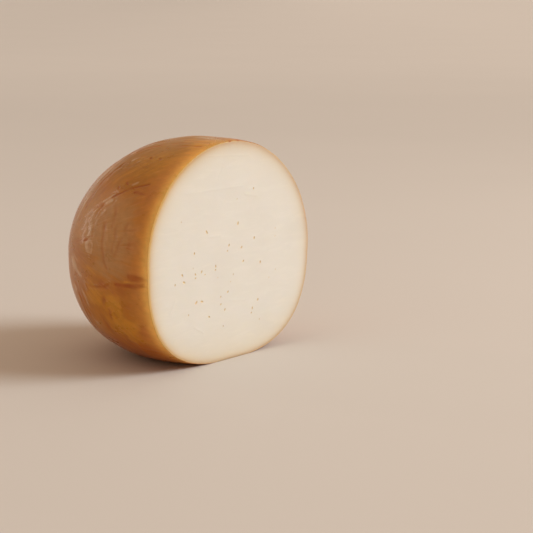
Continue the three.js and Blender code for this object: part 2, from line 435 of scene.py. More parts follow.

# Depth in mm and turn in degrees at each point of a line. Pale lines on raised ridges are painted
# highlights, and dark lines in grooves are partly painted shade.
CREASES: tuple[Crease, ...] = (
    # The long crease of the left shoulder, with its side branch.
    Crease(((14, 139), (22.5, 141.5), (26, 142.5), (31, 145.2), (37, 147.6)), 0.6, 0.2, DARK, 0.85),
    Crease(((22, 143.8), (9.4, 145.8)), 1.0, 0.06, RUST, 0.7),
    Crease(((26, 140.6), (23.6, 139)), 1.2, -0.12, PALE, 0.5),
    Crease(((37.2, 129.6), (35, 125.2)), 0.91, -0.11, PALE, 0.6),
    Crease(((44, 150), (40, 148.2), (36, 146.4)), 0.8, -0.1, PALE, 0.8),
    Crease(((40, 151), (36, 149.4)), 1.1, -0.15, PALE, 1.0),
    # Short folds in a row below it.
    Crease(((49.4, 157.5), (47.4, 153.8)), 0.9, -0.11, PALE, 0.8),
    Crease(((46.9, 159), (45, 154.5), (42.4, 152)), 0.7, 0.16, DARK, 0.45),
    Crease(((43.6, 161), (41.5, 158), (38.9, 155.6)), 1.2, -0.088, PALE, 0.25),
    Crease(((49.6, 159.6), (48.2, 162.6), (47.6, 166.4)), 1.4, -0.16, PALE, 1.4),
    Crease(((50, 168), (47.2, 164.8)), 0.9, -0.1, PALE, 1.0),
    Crease(((52, 170), (50, 169.6), (47.4, 167.4), (44.6, 167)), 0.6, 0.11, RUST, 0.7),
    Crease(
        ((49.4, 174), (50.7, 171.8), (48.4, 169.8), (46, 169.8), (43.9, 171.4), (44.4, 175.4)),
        0.8, -0.11, PALE, 0.9,
    ),
    Crease(((48.2, 171.6), (46.4, 175.4)), 1.5, -0.13, PALE, 1.0),
    Crease(((47.6, 171.8), (46.6, 174.2)), 0.7, 0.14, DARK, 0.7),
    Crease(((48.2, 176.6), (45.4, 178)), 0.65, -0.066, PALE, 0.4),
    # Thin veins of the left side.
    Crease(
        ((35.5, 161), (35.2, 168.8), (34.5, 173.2), (32.8, 178), (30.4, 181.6)),
        1.1, 0.08, DARK, 0.36,
    ),
    Crease(((41, 168.4), (36, 173.6)), 0.65, -0.055, PALE, 0.2),
    Crease(((19.6, 166), (21.2, 169.5), (22, 172.4), (24, 175)), 1.2, 0.07, DARK, 0.32),
    Crease(((14.8, 166.5), (14.2, 169.6), (14, 171)), 1.6, 0.05, RUST, 0.35),
    Crease(((17.4, 159), (18.4, 162.6), (17.6, 165.4)), 1.2, 0.06, DARK, 0.32),
    Crease(((29.7, 161.8), (29.2, 162.4)), 0.6, 0.12, DARK, 0.6),
    Crease(((17.8, 176.6), (17.2, 177)), 0.6, 0.1, DARK, 0.5),
    Crease(((42.5, 157), (38, 159), (35.6, 163)), 1.0, 0.06, DARK, 0.28),
    Crease(((31, 152), (29, 156), (29.4, 160)), 1.2, 0.06, DARK, 0.28),
    Crease(((26, 163), (25, 168), (26.4, 173)), 1.2, 0.06, DARK, 0.28),
    Crease(((33, 163), (31.6, 168), (31.4, 173)), 1.3, -0.05, PALE, 0.25),
    Crease(((23.6, 164), (23.2, 168), (24.2, 171)), 1.2, -0.05, PALE, 0.25),
    # The knot's side of the left edge.
    Crease(((68, 182), (64.6, 185.2), (60.1, 187), (56.4, 188.4)), 1.3, -0.16, PALE, 1.5),
    Crease(((67.4, 195.5), (64, 199), (61, 204), (59.4, 210), (58, 217)), 1.4, -0.12, PALE, 0.6),
    Crease(((64, 193), (60, 200), (57, 208), (55, 216)), 0.9, 0.14, RUST, 0.6),
    Crease(((55.8, 195.2), (52.3, 199), (51, 203)), 1.5, -0.09, PALE, 0.4),
    Crease(((68, 179), (64, 186.6), (60, 188.6)), 0.7, 0.14, RUST, 0.6),
    Crease(((55, 187.8), (52, 190.6), (50.5, 194)), 1, -0.088, PALE, 0.4),
    Crease(((66, 196), (58, 202), (50.7, 208.2)), 0.9, 0.14, RUST, 0.5),
    Crease(((50.7, 208.2), (48, 210.4), (45, 213)), 1.2, -0.08, PALE, 0.6),
    Crease(((62, 192), (56, 196.6), (52, 201)), 1, -0.066, PALE, 0.3),
    # The two folds that run from the left edge into the cut.
    Crease(
        ((57, 190), (45, 190.8), (39, 190.3), (34.2, 189.8), (29.2, 187.5), (25, 185.6)),
        0.78, -0.066, PALE, 0.2,
    ),
    Crease(((50, 192), (39, 191.4), (34, 191.2), (29, 189)), 0.8, 0.16, DARK, 0.35),
    # Beside the cut, a thin golden line on the fold's raised ridge is a painted highlight, and the dark
    # line below it is partly painted shade.
    Crease(((0.6, 182.2), (4, 183), (8, 183.8), (13, 183.8)), 1.6, 0.08, RUST, 0.9),
    Crease(((0.3, 184.2), (4.4, 185.2), (10.7, 186), (16, 186.2)), 0.8, -0.10, GOLD, 0.9),
    Crease(((3, 186.4), (7.9, 187), (12.6, 187.5), (17.8, 188), (23, 188.2)), 0.9, 0.14, DARK, 0.7),
    # Streaks of the lower side.
    Crease(((36.4, 190.6), (33.6, 193), (34.6, 197)), 2.2, 0.04, RUST, 0.65),
    Crease(((31, 201), (30.4, 205), (28, 208.4), (24, 213)), 1.8, 0.06, RUST, 0.85),
    Crease(((27, 202), (22, 209), (15, 216)), 1.2, 0.08, DARK, 0.3),
    Crease(((36.9, 208.8), (34, 213), (28, 218)), 1.6, 0.06, DARK, 0.3),
    Crease(((24, 216), (14, 221.5), (5, 224)), 1.0, 0.06, RUST, 0.9),
    Crease(((17, 218.5), (9, 221), (2, 221.5)), 0.91, -0.033, GOLD, 0.6),
    # The top.
    Crease(((6, 107), (13, 108), (20, 110)), 1.0, 0.12, DARK, 0.5),
    Crease(((18, 104.5), (27, 107), (34, 108.5)), 1.0, 0.1, DARK, 0.4),
    Crease(((6, 101), (14, 102), (24, 101)), 0.9, 0.1, DARK, 0.35),
    Crease(((28.6, 122), (28, 122.4)), 0.65, 0.3, DARK, 0.9),
    Crease(((28, 122.4), (34, 121), (39, 122)), 0.6, 0.08, DARK, 0.2),
    Crease(((21.6, 122.1), (20.2, 122.9)), 0.65, 0.25, DARK, 0.7),
    Crease(((18.8, 122.8), (18.4, 123)), 0.78, -0.11, PALE, 0.5),
    Crease(((36.2, 142.2), (35.6, 142.6)), 0.7, 0.15, RUST, 1.0),
    Crease(((31.4, 139.6), (30, 140.4)), 0.8, 0.1, RUST, 1.0),
    # Long wrinkles along the upper left edge.
    Crease(
        ((66, 146), (63, 137.5), (60, 131.5), (57.5, 125.5), (54.5, 120), (48.5, 115.5)),
        1.6, -0.14, PALE, 0.9,
    ),
    Crease(
        ((61, 150), (57.5, 143.5), (55.3, 137.5), (52.1, 133.5), (49, 129.5), (47, 126)),
        1.0, 0.2, DARK, 0.5,
    ),
    Crease(((59.5, 138), (56.5, 132), (53.5, 127)), 0.9, 0.14, DARK, 0.4),
    Crease(((57.5, 147), (54.2, 142), (50.6, 137)), 1.4, -0.1, PALE, 0.6),
    Crease(((49, 133), (46, 129)), 1.2, -0.08, PALE, 0.4),
    Crease(((66.2, 158), (64.3, 151), (62.9, 147)), 1.3, -0.12, PALE, 0.8),
    Crease(((63, 160), (60, 153), (57, 146)), 0.9, 0.14, RUST, 0.7),
    Crease(((47, 117), (40, 112), (34, 110)), 0.8, 0.16, RUST, 0.9),
    Crease(((60, 118), (52, 110), (44, 106), (34, 103)), 0.9, 0.16, RUST, 0.9),
    Crease(((56, 112), (48, 105), (38, 101), (26, 98)), 0.9, 0.14, RUST, 0.9),
    Crease(((52, 113.5), (44, 109), (37, 106)), 1.1, -0.1, PALE, 0.6),
    Crease(((41, 124), (38, 121.6)), 1.0, -0.12, PALE, 0.7),
    # Nicks of the knife along the cut's edge, dark with painted shade, and a chip with a painted
    # highlight.
    Crease(((0.3, 91.4), (1.2, 90.4)), 0.8, 0.2, DARK, 0.9),
    Crease(((0.2, 88.6), (0.7, 88.2)), 0.5, -0.15, PALE, 0.9),
    Crease(((0.3, 85.4), (1.2, 84.6)), 0.8, 0.2, DARK, 0.9),
    Crease(((0.0, 12.0), (1.4, 12.4)), 0.8, 0.3, DARK, 0.8),
    # The side that is turned away.
    Crease(((6, 352), (34, 346)), 1.1, 0.3, DARK, 0.5),
    Crease(((22, 38), (52, 31), (70, 38)), 1.1, 0.28, DARK, 0.5),
    Crease(((62, 118), (84, 96)), 1.1, 0.28, DARK, 0.5),
    Crease(((58, 8), (80, 350)), 1.1, 0.28, DARK, 0.5),
)

PATCHES: tuple[Patch, ...] = (
    Patch((22, 104), 50, 24, DEEP, 0.85),
    Patch((32, 126), 28, 22, DEEP, 0.7),
    # Painted shade that dims and warms the top of the ball.
    Patch((12, 99), 24, 15, SMOKE, 0.9),
    # Dark marks below that fold: partly rust-brown colour, partly painted shade below it.
    Patch((8.5, 183.4), 6, 1.9, DARK, 0.7),
    Patch((15.5, 187.7), 9, 1.4, DARK, 0.75),
    Patch((19, 190.4), 5, 2.8, DARK, 0.4),
    Patch((2, 76), 6, 13, DARK, 0.6),
    Patch((4, 97), 6, 9, GOLD, 0.6),
    Patch((5, 110), 8, 13, GOLD, 0.7),
    Patch((0, 8), 5, 36, DARK, 0.5),
    Patch((31, 164), 24, 21, TAN, 0.9),
    Patch((28, 182), 16, 5, TAN, 0.5),
    Patch((58, 160), 14, 30, TAN, 0.6),
    Patch((22, 126), 20, 13, GOLD, 0.35),
    Patch((36, 137), 10, 6, GOLD, 0.35),
    Patch((43, 195), 9, 8, GOLD, 0.7),
    Patch((27, 199), 8, 9, GOLD, 0.85),
    Patch((22, 208), 11, 6, GOLD, 0.85),
    Patch((15, 215), 10, 4, GOLD, 0.5),
    Patch((8, 203), 8, 9, GOLD, 0.35),
    Patch((44, 184), 10, 4, GOLD, 0.5),
    Patch((12, 101), 14, 6, GOLD, 0.5),
    Patch((6, 193), 6, 8, GOLD, 0.4),
    Patch((10, 142), 9, 5, RUST, 0.2),
    Patch((13, 150), 5, 7, RUST, 0.3),
    Patch((13, 168), 5, 13, RUST, 0.3),
    Patch((31, 138), 4, 2, RUST, 0.3),
    Patch((14, 200), 6, 8, RUST, 0.3),
    Patch((18, 174), 14, 14, TAN, 0.55),
    Patch((7, 211), 5, 5, RUST, 0.8),
    Patch((36, 190), 7, 2.5, RUST, 0.5),
    Patch((37, 209), 5, 6, RUST, 0.5),
    Patch((26, 192), 5, 4, RUST, 0.45),
    # Painted shade: the rind's underside, dark in the floor's shade under the cut's lower edge.
    Patch((0, 264), 5, 34, DARK, 0.8),
    Patch((32, 218), 12, 5, RUST, 0.5),
    Patch((14, 225), 18, 12, RUST, 0.95),
    Patch((15, 227), 18, 9, DARK, 0.3),
    Patch((44, 222), 16, 9, RUST, 0.8),
    Patch((61, 214), 10, 12, RUST, 0.35),
    Patch((62, 176), 9, 8, RUST, 0.4),
    Patch((60, 197), 8, 7, RUST, 0.3),
    Patch((48, 112), 10, 6, RUST, 0.4),
    Patch((58, 146), 5, 6, RUST, 0.35),
    Patch((50, 140), 6, 8, RUST, 0.35),
    Patch((53, 170), 3, 3, RUST, 0.4),
    Patch((44, 151), 4, 2.5, RUST, 0.4),
    # Pale patches: painted highlights and sheen of the rind.
    Patch((60, 128), 8, 8, PALE, 0.3),
    Patch((64, 144), 6, 7, PALE, 0.3),
    Patch((14, 93), 14, 3, PALE, 0.5),
    Patch((46.2, 172.8), 2.8, 3.6, PALE, 0.45),
    Patch((66, 183), 5, 6, PALE, 0.5),
    Patch((56, 219), 6, 5, PALE, 0.2),
)

# Where the skin is gathered into fine wrinkles.
WRINKLED: tuple[Patch, ...] = (
    Patch((60, 150), 16, 40, None, 1.0),
    Patch((52, 168), 9, 20, None, 0.7),
    Patch((48, 122), 16, 24, None, 1.0),
    Patch((60, 193), 14, 26, None, 0.8),
    Patch((30, 198), 22, 16, None, 0.35),
    Patch((14, 104), 14, 10, None, 0.5),
    Patch((85, 110), 22, 60, None, 0.8),
    Patch((80, 30), 26, 60, None, 0.6),
    Patch((30, 20), 20, 25, None, 0.4),
)


@dataclass(frozen=True)
class HiddenSide:
    """Patches and veins of the side that is turned away, by a seeded draw between pairs of limits.

    Depths and sizes are in mm and turns in degrees. The veins are colour without relief.
    """

    seed: int = 11
    turns: Place = (-112.0, 84.0)
    patches: int = 44
    patch_depths: Place = (6, 92)
    half_along: Place = (5, 13)
    half_round: Place = (4, 9)
    strength: Place = (0.3, 0.8)
    # The pale patches, whose tint stands for painted highlights and sheen, have this share of the
    # strength.
    pale_highlight_share: float = 0.5
    tilt: Place = (-30, 30)
    veins: int = 26
    vein_depths: Place = (8, 84)
    # How far a vein goes on in depth and turn, from its start and from its middle.
    first_step: tuple[Place, Place] = ((4, 9), (-6, 6))
    second_step: tuple[Place, Place] = ((3, 7), (-9, 9))
    vein_wide: Place = (0.8, 1.4)
    vein_strength: float = 0.4
    dark_share: float = 0.5

    def draw(self) -> tuple[list[Patch], list[Crease]]:
        """Draws the marks.

        Returns:
            The patches and the veins.
        """
        draw = np.random.default_rng(self.seed)
        tints = [GOLD, RUST, TAN, PALE]
        patches = []
        for index in range(self.patches):
            middle = draw.uniform(*self.patch_depths), draw.uniform(*self.turns)
            half = draw.uniform(*self.half_along), draw.uniform(*self.half_round)
            tint = tints[index % len(tints)]
            strength = draw.uniform(*self.strength) * (self.pale_highlight_share if tint is PALE else 1.0)
            patches.append(Patch(middle, *half, tint, strength, draw.uniform(*self.tilt)))
        veins = []
        for _ in range(self.veins):
            path = [(draw.uniform(*self.vein_depths), draw.uniform(*self.turns))]
            for step in (self.first_step, self.second_step):
                depth, turn = path[-1]
                path.append((depth + draw.uniform(*step[0]), turn + draw.uniform(*step[1])))
            tint = DARK if draw.random() < self.dark_share else RUST
            wide = draw.uniform(*self.vein_wide)
            veins.append(Crease(tuple(path), wide, 0.0, tint, self.vein_strength))
        return patches, veins


@dataclass(frozen=True)
class SkinMarks:
    """All that marks the smooth skin: swells, creases, wrinkles and patches of colour."""

    form: BallForm
    creases: tuple[Crease, ...] = CREASES
    patches: tuple[Patch, ...] = PATCHES
    wrinkled: tuple[Patch, ...] = WRINKLED
    # Depth and turn of the knot that the skin is drawn towards, and where wrinkles begin round it.
    knot: Place = (72.0, 172.0)
    knot_calm: Place = (5.0, 16.0)
    # Height, width and length of a wrinkle in mm.
    wrinkles: tuple[tuple[float, float, float], ...] = ((0.09, 3.6, 22.0), (0.03, 1.9, 11.0))
    # Height in mm, waves along the length, waves round it, phase.
    swells: tuple[tuple[float, float, int, float], ...] = (
        (0.2, 1.3, 2, 0.4),
        (0.2, 2.1, 3, 2.1),
        (0.15, 3.4, 5, 4.0),
    )
    # How far the skin lies inside the smooth form, from this depth on.
    settling: float = 0.2
    settled_from: float = 15.0
    # Height of a crease's lips as a share of its depth, and their place in half widths.
    lip: float = 0.3
    lip_place: float = 2.0
    # Strength of a line along its way: its mean, how far noise moves it, its limits, and the
    # noise's size.
    usual: float = 0.8
    moved: float = 0.9
    faintest: float = 0.1
    strongest: float = 1.5
    gap: float = 5.0
    # Height and size of two plain noises, which are drawn out along the ball.
    uneven: tuple[Place, ...] = ((0.22, 15.0), (0.03, 4.5))
    drawn_out: float = 0.6
    # How far a patch's edge is moved along the ball and round it, and width and length of that
    # noise's lumps. The two shifts are taken far apart in it, so that they differ.
    ragged: Place = (5.2, 2.6)
    ragged_noise: Place = (8.0, 20.0)
    ragged_off: Place = (40.0, 80.0)
    # The same of a finer noise, which makes it frayed.
    frayed: Place = (2.0, 1.0)
    frayed_noise: Place = (2.2, 9.0)
    # A line takes this share of the first shifts.
    line_share: float = 0.1
    hidden: HiddenSide = HiddenSide()
    noise: Noise = field(default_factory=lambda: Noise(7))

    def drawn(self, points: Array) -> Array:
        """Places in the pattern of a skin that is drawn towards its knot.

        The knot is a pole of the ball. With a the angle about the pole's axis and s the distance
        from the pole along a sphere as wide as the ball, it is (w cos a, w sin a, s), w being the
        ball's half width. Noise that is drawn out along the third number runs towards the knot.

        Args:
            points: Points as rows of x, depth, height.

        Returns:
            Places in mm, one a row.
        """
        form = self.form
        centre = np.array([0.0, form.girth_depth, form.cut_middle])
        depth, turn = np.array([self.knot[0]]), np.radians([self.knot[1]])
        pole = form.place(Spots(depth, turn, form.reach(depth, turn)))[0] - centre
        pole /= np.linalg.norm(pole)
        across = np.cross(pole, [0.0, 0.0, 1.0])
        across /= np.linalg.norm(across)
        upward = np.cross(across, pole)
        away = points - centre
        away /= np.linalg.norm(away, axis=1, keepdims=True)
        angle = np.arctan2(away @ upward, away @ across)
        travelled = np.arccos(np.clip(away @ pole, -1.0, 1.0))
        return form.half_width * np.stack([np.cos(angle), np.sin(angle), travelled], axis=1)

    def streaks(self, drawn: Array, size: Place) -> Array:
        """Noise of lumps of a width and length that run towards the knot, about -1 to 1."""
        width, length = size
        return self.noise.at(drawn * np.array([1.0, 1.0, width / length]), width)

    def broken(self, points: Array) -> Array:
        """Strength of a line at points of the skin: noise that makes it fade and return."""
        strength = self.usual + self.moved * self.noise.at(points, self.gap)
        return np.clip(strength, self.faintest, self.strongest)

    def relief(self, spots: Spots) -> Array:
        """How far the skin stands out from the smooth form.

        Swells are products of two sine waves. A crease at the distance d from its path, as a share
        of its half width, is -deep * (exp(-d^2) - lip * exp(-(d - lip_place)^2)), and noise makes it
        fade and return along its way. Wrinkles are noise drawn out towards the knot, and two sizes
        of plain noise make the rest uneven. All of it fades towards the tip with the radius.

        Args:
            spots: Points of the smooth skin.

        Returns:
            The height in mm.
        """
        height = -self.settling * smooth_step(0.0, self.settled_from, spots.depth)
        for swell, waves_along, waves_round, phase in self.swells:
            lengthwise = np.sin(2.0 * np.pi * waves_along * spots.depth / self.form.length + phase)
            height += swell * lengthwise * np.sin(waves_round * spots.turn + phase)
        points = self.form.place(spots)
        broken = self.broken(points)
        for crease in self.creases:
            away = crease.away(spots)
            lip = self.lip * np.exp(-((away - self.lip_place) ** 2))
            height -= crease.deep * broken * (np.exp(-(away**2)) - lip)
        gathered = np.zeros(len(points))
        for patch in self.wrinkled:
            gathered = np.maximum(gathered, patch.strength * patch.share(spots))
        drawn = self.drawn(points)
        gathered *= smooth_step(*self.knot_calm, drawn[:, 2])
        for tall, width, length in self.wrinkles:
            height += tall * gathered * self.streaks(drawn, (width, length))
        for tall, size in self.uneven:
            height += tall * self.noise.at(points * np.array([1.0, self.drawn_out, 1.0]), size)
        return height * np.minimum(spots.radius / self.form.half_width, 1.0)

    def masks(self, spots: Spots) -> dict[str, Array]:
        """How strongly each tint colours each point, 0 to 1.

        A patch lies on places that drawn-out noise has shifted, so that its edge is ragged. A line
        is exp(-d^2) of its distance d as a share of its half width, and fades and returns along its
        way as its relief does.

        Args:
            spots: Points of the smooth skin.

        Returns:
            One mask for each tint, by the tint's name.
        """
        points = self.form.place(spots)
        drawn = self.drawn(points)
        along, across = (
            size * self.streaks(drawn + off, self.ragged_noise)
            for size, off in zip(self.ragged, self.ragged_off)
        )
        frayed = self.streaks(drawn, self.frayed_noise)
        radius = np.maximum(spots.radius, 1.0)
        moved = Spots(
            spots.depth + along + self.frayed[0] * frayed,
            spots.turn + (across + self.frayed[1] * frayed) / radius,
            spots.radius,
        )
        left = {tint: np.ones(len(points)) for tint in Tint}
        hidden_patches, hidden_veins = self.hidden.draw()
        for patch in [*self.patches, *hidden_patches]:
            left[patch.tint] *= 1.0 - patch.strength * patch.share(moved)
        broken = self.broken(points)
        moved = Spots(
            spots.depth + self.line_share * along,
            spots.turn + self.line_share * across / radius,
            spots.radius,
        )
        for crease in [*self.creases, *hidden_veins]:
            strength = np.minimum(crease.strength * broken, 1.0)
            left[crease.tint] *= 1.0 - strength * np.exp(-(crease.away(moved) ** 2))
        return {tint.value: 1.0 - share for tint, share in left.items()}


# ------------------------------------------------------------------------------------ the cut face


@dataclass(frozen=True)
class Outline:
    """The closed outline of a flat face, as rows of x and height."""

    rim: Array

    @property
    def middle(self) -> Array:
        """The middle of the box round it."""
        return (self.rim.min(axis=0) + self.rim.max(axis=0)) / 2.0

    def angle(self, places: Array) -> Array:
        """Angle of places about the middle, in radians."""
        away = places - self.middle
        return np.arctan2(away[:, 1], away[:, 0])

    def inset(self, places: Array) -> Array:
        """How far places lie inside the outline, measured from the middle out.

        The outline's distance from its middle is looked up by angle.

        Args:
            places: Places as rows of x and height.

        Returns:
            The distances in mm, less than 0 outside.
        """
        angle = self.angle(self.rim)
        order = np.argsort(angle)
        reach = np.linalg.norm(self.rim - self.middle, axis=1)
        limit = np.interp(self.angle(places), angle[order], reach[order], period=2.0 * np.pi)
        return limit - np.linalg.norm(places - self.middle, axis=1)

    def followed(self, inset: float) -> Array:
        """The outline's points, each moved towards the middle by a distance in mm."""
        away = self.rim - self.middle
        return self.middle + away * (1.0 - inset / np.linalg.norm(away, axis=1, keepdims=True))


@dataclass(frozen=True)
class Eye:
    """An eye that the knife opened: place and size on the cut face in mm, tilt in degrees."""

    x: float
    height: float
    length: float
    breadth: float
    tilt: float
    strength: float = 1.0


@dataclass(frozen=True)
class Stroke:
    """A straight mark on the cut face, from one x and height to another, a ridge if deep < 0."""

    start: Place
    end: Place
    wide: float
    deep: float


EYES: tuple[Eye, ...] = (
    Eye(5.1, 77.0, 2.6, 1.3, 70),
    Eye(-20.6, 75.1, 3.0, 1.3, 125),
    Eye(18.9, 67.0, 2.2, 1.4, 80),
    Eye(-2.5, 65.4, 2.2, 1.2, 60),
    Eye(-3.8, 62.4, 1.6, 0.9, 40, 0.85),
    Eye(8.0, 62.9, 2.2, 1.2, 40),
    Eye(-30.7, 64.5, 1.8, 1.2, 90),
    Eye(9.4, 54.8, 2.0, 1.2, 30),
    Eye(24.1, 52.2, 2.0, 1.4, 80),
    Eye(-13.5, 55.0, 2.0, 1.1, 95),
    Eye(-13.8, 53.0, 1.6, 1.0, 30, 0.95),
    Eye(-25.0, 53.5, 2.2, 1.2, 60),
    Eye(-30.0, 52.7, 1.9, 1.2, 115),
    Eye(-29.9, 50.6, 1.6, 1.0, 40, 0.95),
    Eye(-22.3, 51.6, 1.5, 0.9, 20, 0.85),
    Eye(0.9, 48.3, 1.4, 0.8, 70, 0.7),
    Eye(-40.3, 53.7, 2.2, 1.3, 120),
    Eye(-39.0, 49.6, 2.6, 1.4, 155),
    Eye(-3.7, 39.0, 2.0, 1.2, 40),
    Eye(-9.6, 37.0, 1.5, 0.9, 60, 0.85),
    Eye(21.9, 30.4, 2.0, 1.4, 60),
    Eye(-29.6, 36.8, 3.0, 1.4, 40),
    Eye(-25.0, 36.7, 2.6, 1.4, 165),
    Eye(-9.6, 32.7, 1.7, 1.0, 40, 0.95),
    Eye(-6.3, 29.1, 2.0, 1.1, 60),
    Eye(17.1, 26.2, 2.0, 1.2, 80),
    Eye(16.3, 23.6, 1.6, 1.0, 30, 0.95),
    Eye(-19.2, 27.1, 2.0, 1.2, 150),
    Eye(-7.7, 19.9, 1.5, 0.9, 90, 0.7),
    Eye(-35.8, 30.8, 1.6, 0.9, 60, 0.7),
    Eye(23.2, 18.6, 1.5, 0.9, 80, 0.7),
    Eye(-46.0, 49.2, 1.7, 1.0, 80, 0.85),
    Eye(18.4, 95.5, 1.7, 1.1, 60, 0.95),
    Eye(4.4, 90.9, 1.2, 0.7, 60, 0.6),
    Eye(-40.6, 83.0, 1.3, 0.8, 40, 0.6),
    Eye(37.4, 70.3, 1.3, 0.9, 70, 0.5),
    Eye(37.2, 65.8, 1.3, 0.8, 60, 0.5),
    Eye(37.5, 45.9, 1.3, 0.9, 80, 0.5),
    Eye(31.7, 42.0, 1.2, 0.8, 60, 0.5),
    Eye(-31.8, 56.3, 1.2, 0.7, 60, 0.5),
    Eye(-11.9, 48.3, 1.2, 0.7, 30, 0.5),
    Eye(-1.4, 44.4, 1.2, 0.7, 30, 0.5),
)

STROKES: tuple[Stroke, ...] = (
    Stroke((-36, 98), (9, 98), 0.5, -0.06),
    Stroke((11, 93), (22, 91), 0.6, -0.08),
    Stroke((-18, 72), (-10, 72), 0.5, -0.08),
    Stroke((-2, 34), (12, 32), 0.6, -0.06),
    Stroke((-31, 23), (-24, 19), 0.5, -0.08),
    Stroke((-50, 34), (-46, 40), 0.7, -0.14),
    Stroke((-20, 117), (14, 115), 0.5, -0.05),
    Stroke((-12, 104), (-8, 110), 0.5, 0.05),
)


@dataclass(frozen=True)
class CutFace:
    """The flat cut, with the eyes and the knife's marks sunk into it."""

    eyes: tuple[Eye, ...] = EYES
    strokes: tuple[Stroke, ...] = STROKES
    waviness: float = 0.10
    waviness_size: float = 26.0
    coarse_step: float = 2.0
    # How far the spread of points keeps from the rim, as a share of its step.
    rim_gap: float = 0.6
    eye_rings: tuple[float, ...] = (0.3, 0.6, 0.82, 0.95, 1.05, 1.2, 1.5, 1.9)
    eye_sides: int = 18
    eye_depth: float = 0.26
    eye_power: float = 0.6
    eye_size: float = 0.85
    # Height of the lip round an eye as a share of its depth, its place and its width.
    eye_lip: float = 0.16
    lip_place: float = 1.25
    lip_width: float = 0.2
    # Distances from an eye's middle between which its colour fades.
    pit_fade: Place = (0.75, 1.2)
    clear_of_eye: float = 2.3
    stroke_step: float = 0.8
    stroke_rows: tuple[float, ...] = (-2.0, -1.1, -0.5, 0.0, 0.5, 1.1, 2.0)
    noise: Noise = field(default_factory=lambda: Noise(23))

    def eye_distance(self, eye: Eye, places: Array) -> Array:
        """Elliptic distance from an eye's middle: 1 on its rim."""
        along, across = turned(places[:, 0] - eye.x, places[:, 1] - eye.height, eye.tilt)
        return np.hypot(along / eye.length, across / eye.breadth) * 2.0 / self.eye_size

    def stroke_distance(self, stroke: Stroke, places: Array) -> Array:
        """Distance from a stroke's straight line.

        Args:
            stroke: The stroke.
            places: Places as rows of x and height.

        Returns:
            The distances in mm.
        """
        start, end = np.array(stroke.start), np.array(stroke.end)
        along = end - start
        share = np.clip((places - start) @ along / (along @ along), 0.0, 1.0)
        return np.linalg.norm(places - start - share[:, None] * along, axis=1)

    def sink(self, places: Array) -> Array:
        """How far the face lies behind the plane of the cut.

        An eye is deep * (1 - r^2)^eye_power inside its rim, with a low lip round it, which is
        exp(-((r - lip_place) / lip_width)^2). A stroke at the distance d is deep * exp(-(d/w)^2).
        Wide noise is the knife's sway.

        Args:
            places: Points as rows of x and height.

        Returns:
            The depth in mm, negative where the face stands proud.
        """
        across = np.stack([places[:, 0], np.zeros(len(places)), places[:, 1]], axis=1)
        depth = self.waviness * (1.0 + self.noise.at(across, self.waviness_size))
        for eye in self.eyes:
            away = self.eye_distance(eye, places)
            deep = eye.strength * self.eye_depth
            depth += deep * np.maximum(1.0 - away**2, 0.0) ** self.eye_power
            depth -= deep * self.eye_lip * np.exp(-(((away - self.lip_place) / self.lip_width) ** 2))
        for stroke in self.strokes:
            away = self.stroke_distance(stroke, places)
            depth += stroke.deep * np.exp(-((away / stroke.wide) ** 2))
        return depth

    def pit(self, places: Array) -> Array:
        """Mask of the eyes: 1 inside, gone a little outside the rim.

        Args:
            places: Places as rows of x and height.

        Returns:
            The mask at each place.
        """
        mask = np.zeros(len(places))
        for eye in self.eyes:
            inside = 1.0 - smooth_step(*self.pit_fade, self.eye_distance(eye, places))
            mask = np.maximum(mask, inside * eye.strength)
        return mask

    def free(self, places: Array, outline: Outline) -> Array:
        """Leaves out the places that are too near to the outline or to an eye.

        Args:
            places: Places as rows of x and height.
            outline: What they stay inside of.

        Returns:
            Those that are left.
        """
        places = places[outline.inset(places) > self.coarse_step * self.rim_gap]
        for eye in self.eyes:
            places = places[self.eye_distance(eye, places) > self.clear_of_eye]
        return places

    def places(self, outline: Outline) -> Array:
        """Places for the face's vertices: a hexagonal spread, with rings of points at each eye.

        Args:
            outline: What the places stay inside of.

        Returns:
            Places as rows of x and height.
        """
        step = self.coarse_step
        low, high = outline.rim.min(axis=0), outline.rim.max(axis=0)
        row_step = step * math.sin(math.radians(60.0))
        across, up = np.meshgrid(np.arange(low[0], high[0], step), np.arange(low[1], high[1], row_step))
        across = across + np.where(np.arange(len(across)) % 2 == 1, step / 2.0, 0.0)[:, None]
        spread = np.stack([across.ravel(), up.ravel()], axis=1)
        lines = np.concatenate([self.stroke_points(stroke) for stroke in self.strokes])
        rings = [self.eye_points(eye) for eye in self.eyes]
        return np.concatenate([self.free(spread, outline), self.free(lines, outline), *rings])

    def eye_points(self, eye: Eye) -> Array:
        """Rings of points on and round one eye.

        Args:
            eye: The eye.

        Returns:
            Places as rows of x and height.
        """
        around = 2.0 * np.pi * np.arange(self.eye_sides) / self.eye_sides
        ring = np.array(self.eye_rings)[:, None]
        along = np.concatenate([[0.0], (ring * np.cos(around)).ravel()]) * eye.length
        across = np.concatenate([[0.0], (ring * np.sin(around)).ravel()]) * eye.breadth
        along, across = along * self.eye_size / 2.0, across * self.eye_size / 2.0
        tilt = math.radians(eye.tilt)
        x = eye.x + along * math.cos(tilt) - across * math.sin(tilt)
        height = eye.height + along * math.sin(tilt) + across * math.cos(tilt)
        return np.stack([x, height], axis=1)

    def stroke_points(self, stroke: Stroke) -> Array:
        """Rows of points along one stroke.

        Args:
            stroke: The stroke.

        Returns:
            Places as rows of x and height.
        """
        start, end = np.array(stroke.start), np.array(stroke.end)
        length = float(np.linalg.norm(end - start))
        forward = (end - start) / length
        sideways = np.array([-forward[1], forward[0]]) * stroke.wide
        along = np.linspace(0.0, length, max(int(length / self.stroke_step), 2))
        rows = start + along[:, None, None] * forward
        rows = rows + np.array(self.stroke_rows)[None, :, None] * sideways
        return rows.reshape(-1, 2)


# ------------------------------------------------------------------------------- the cheese's mesh


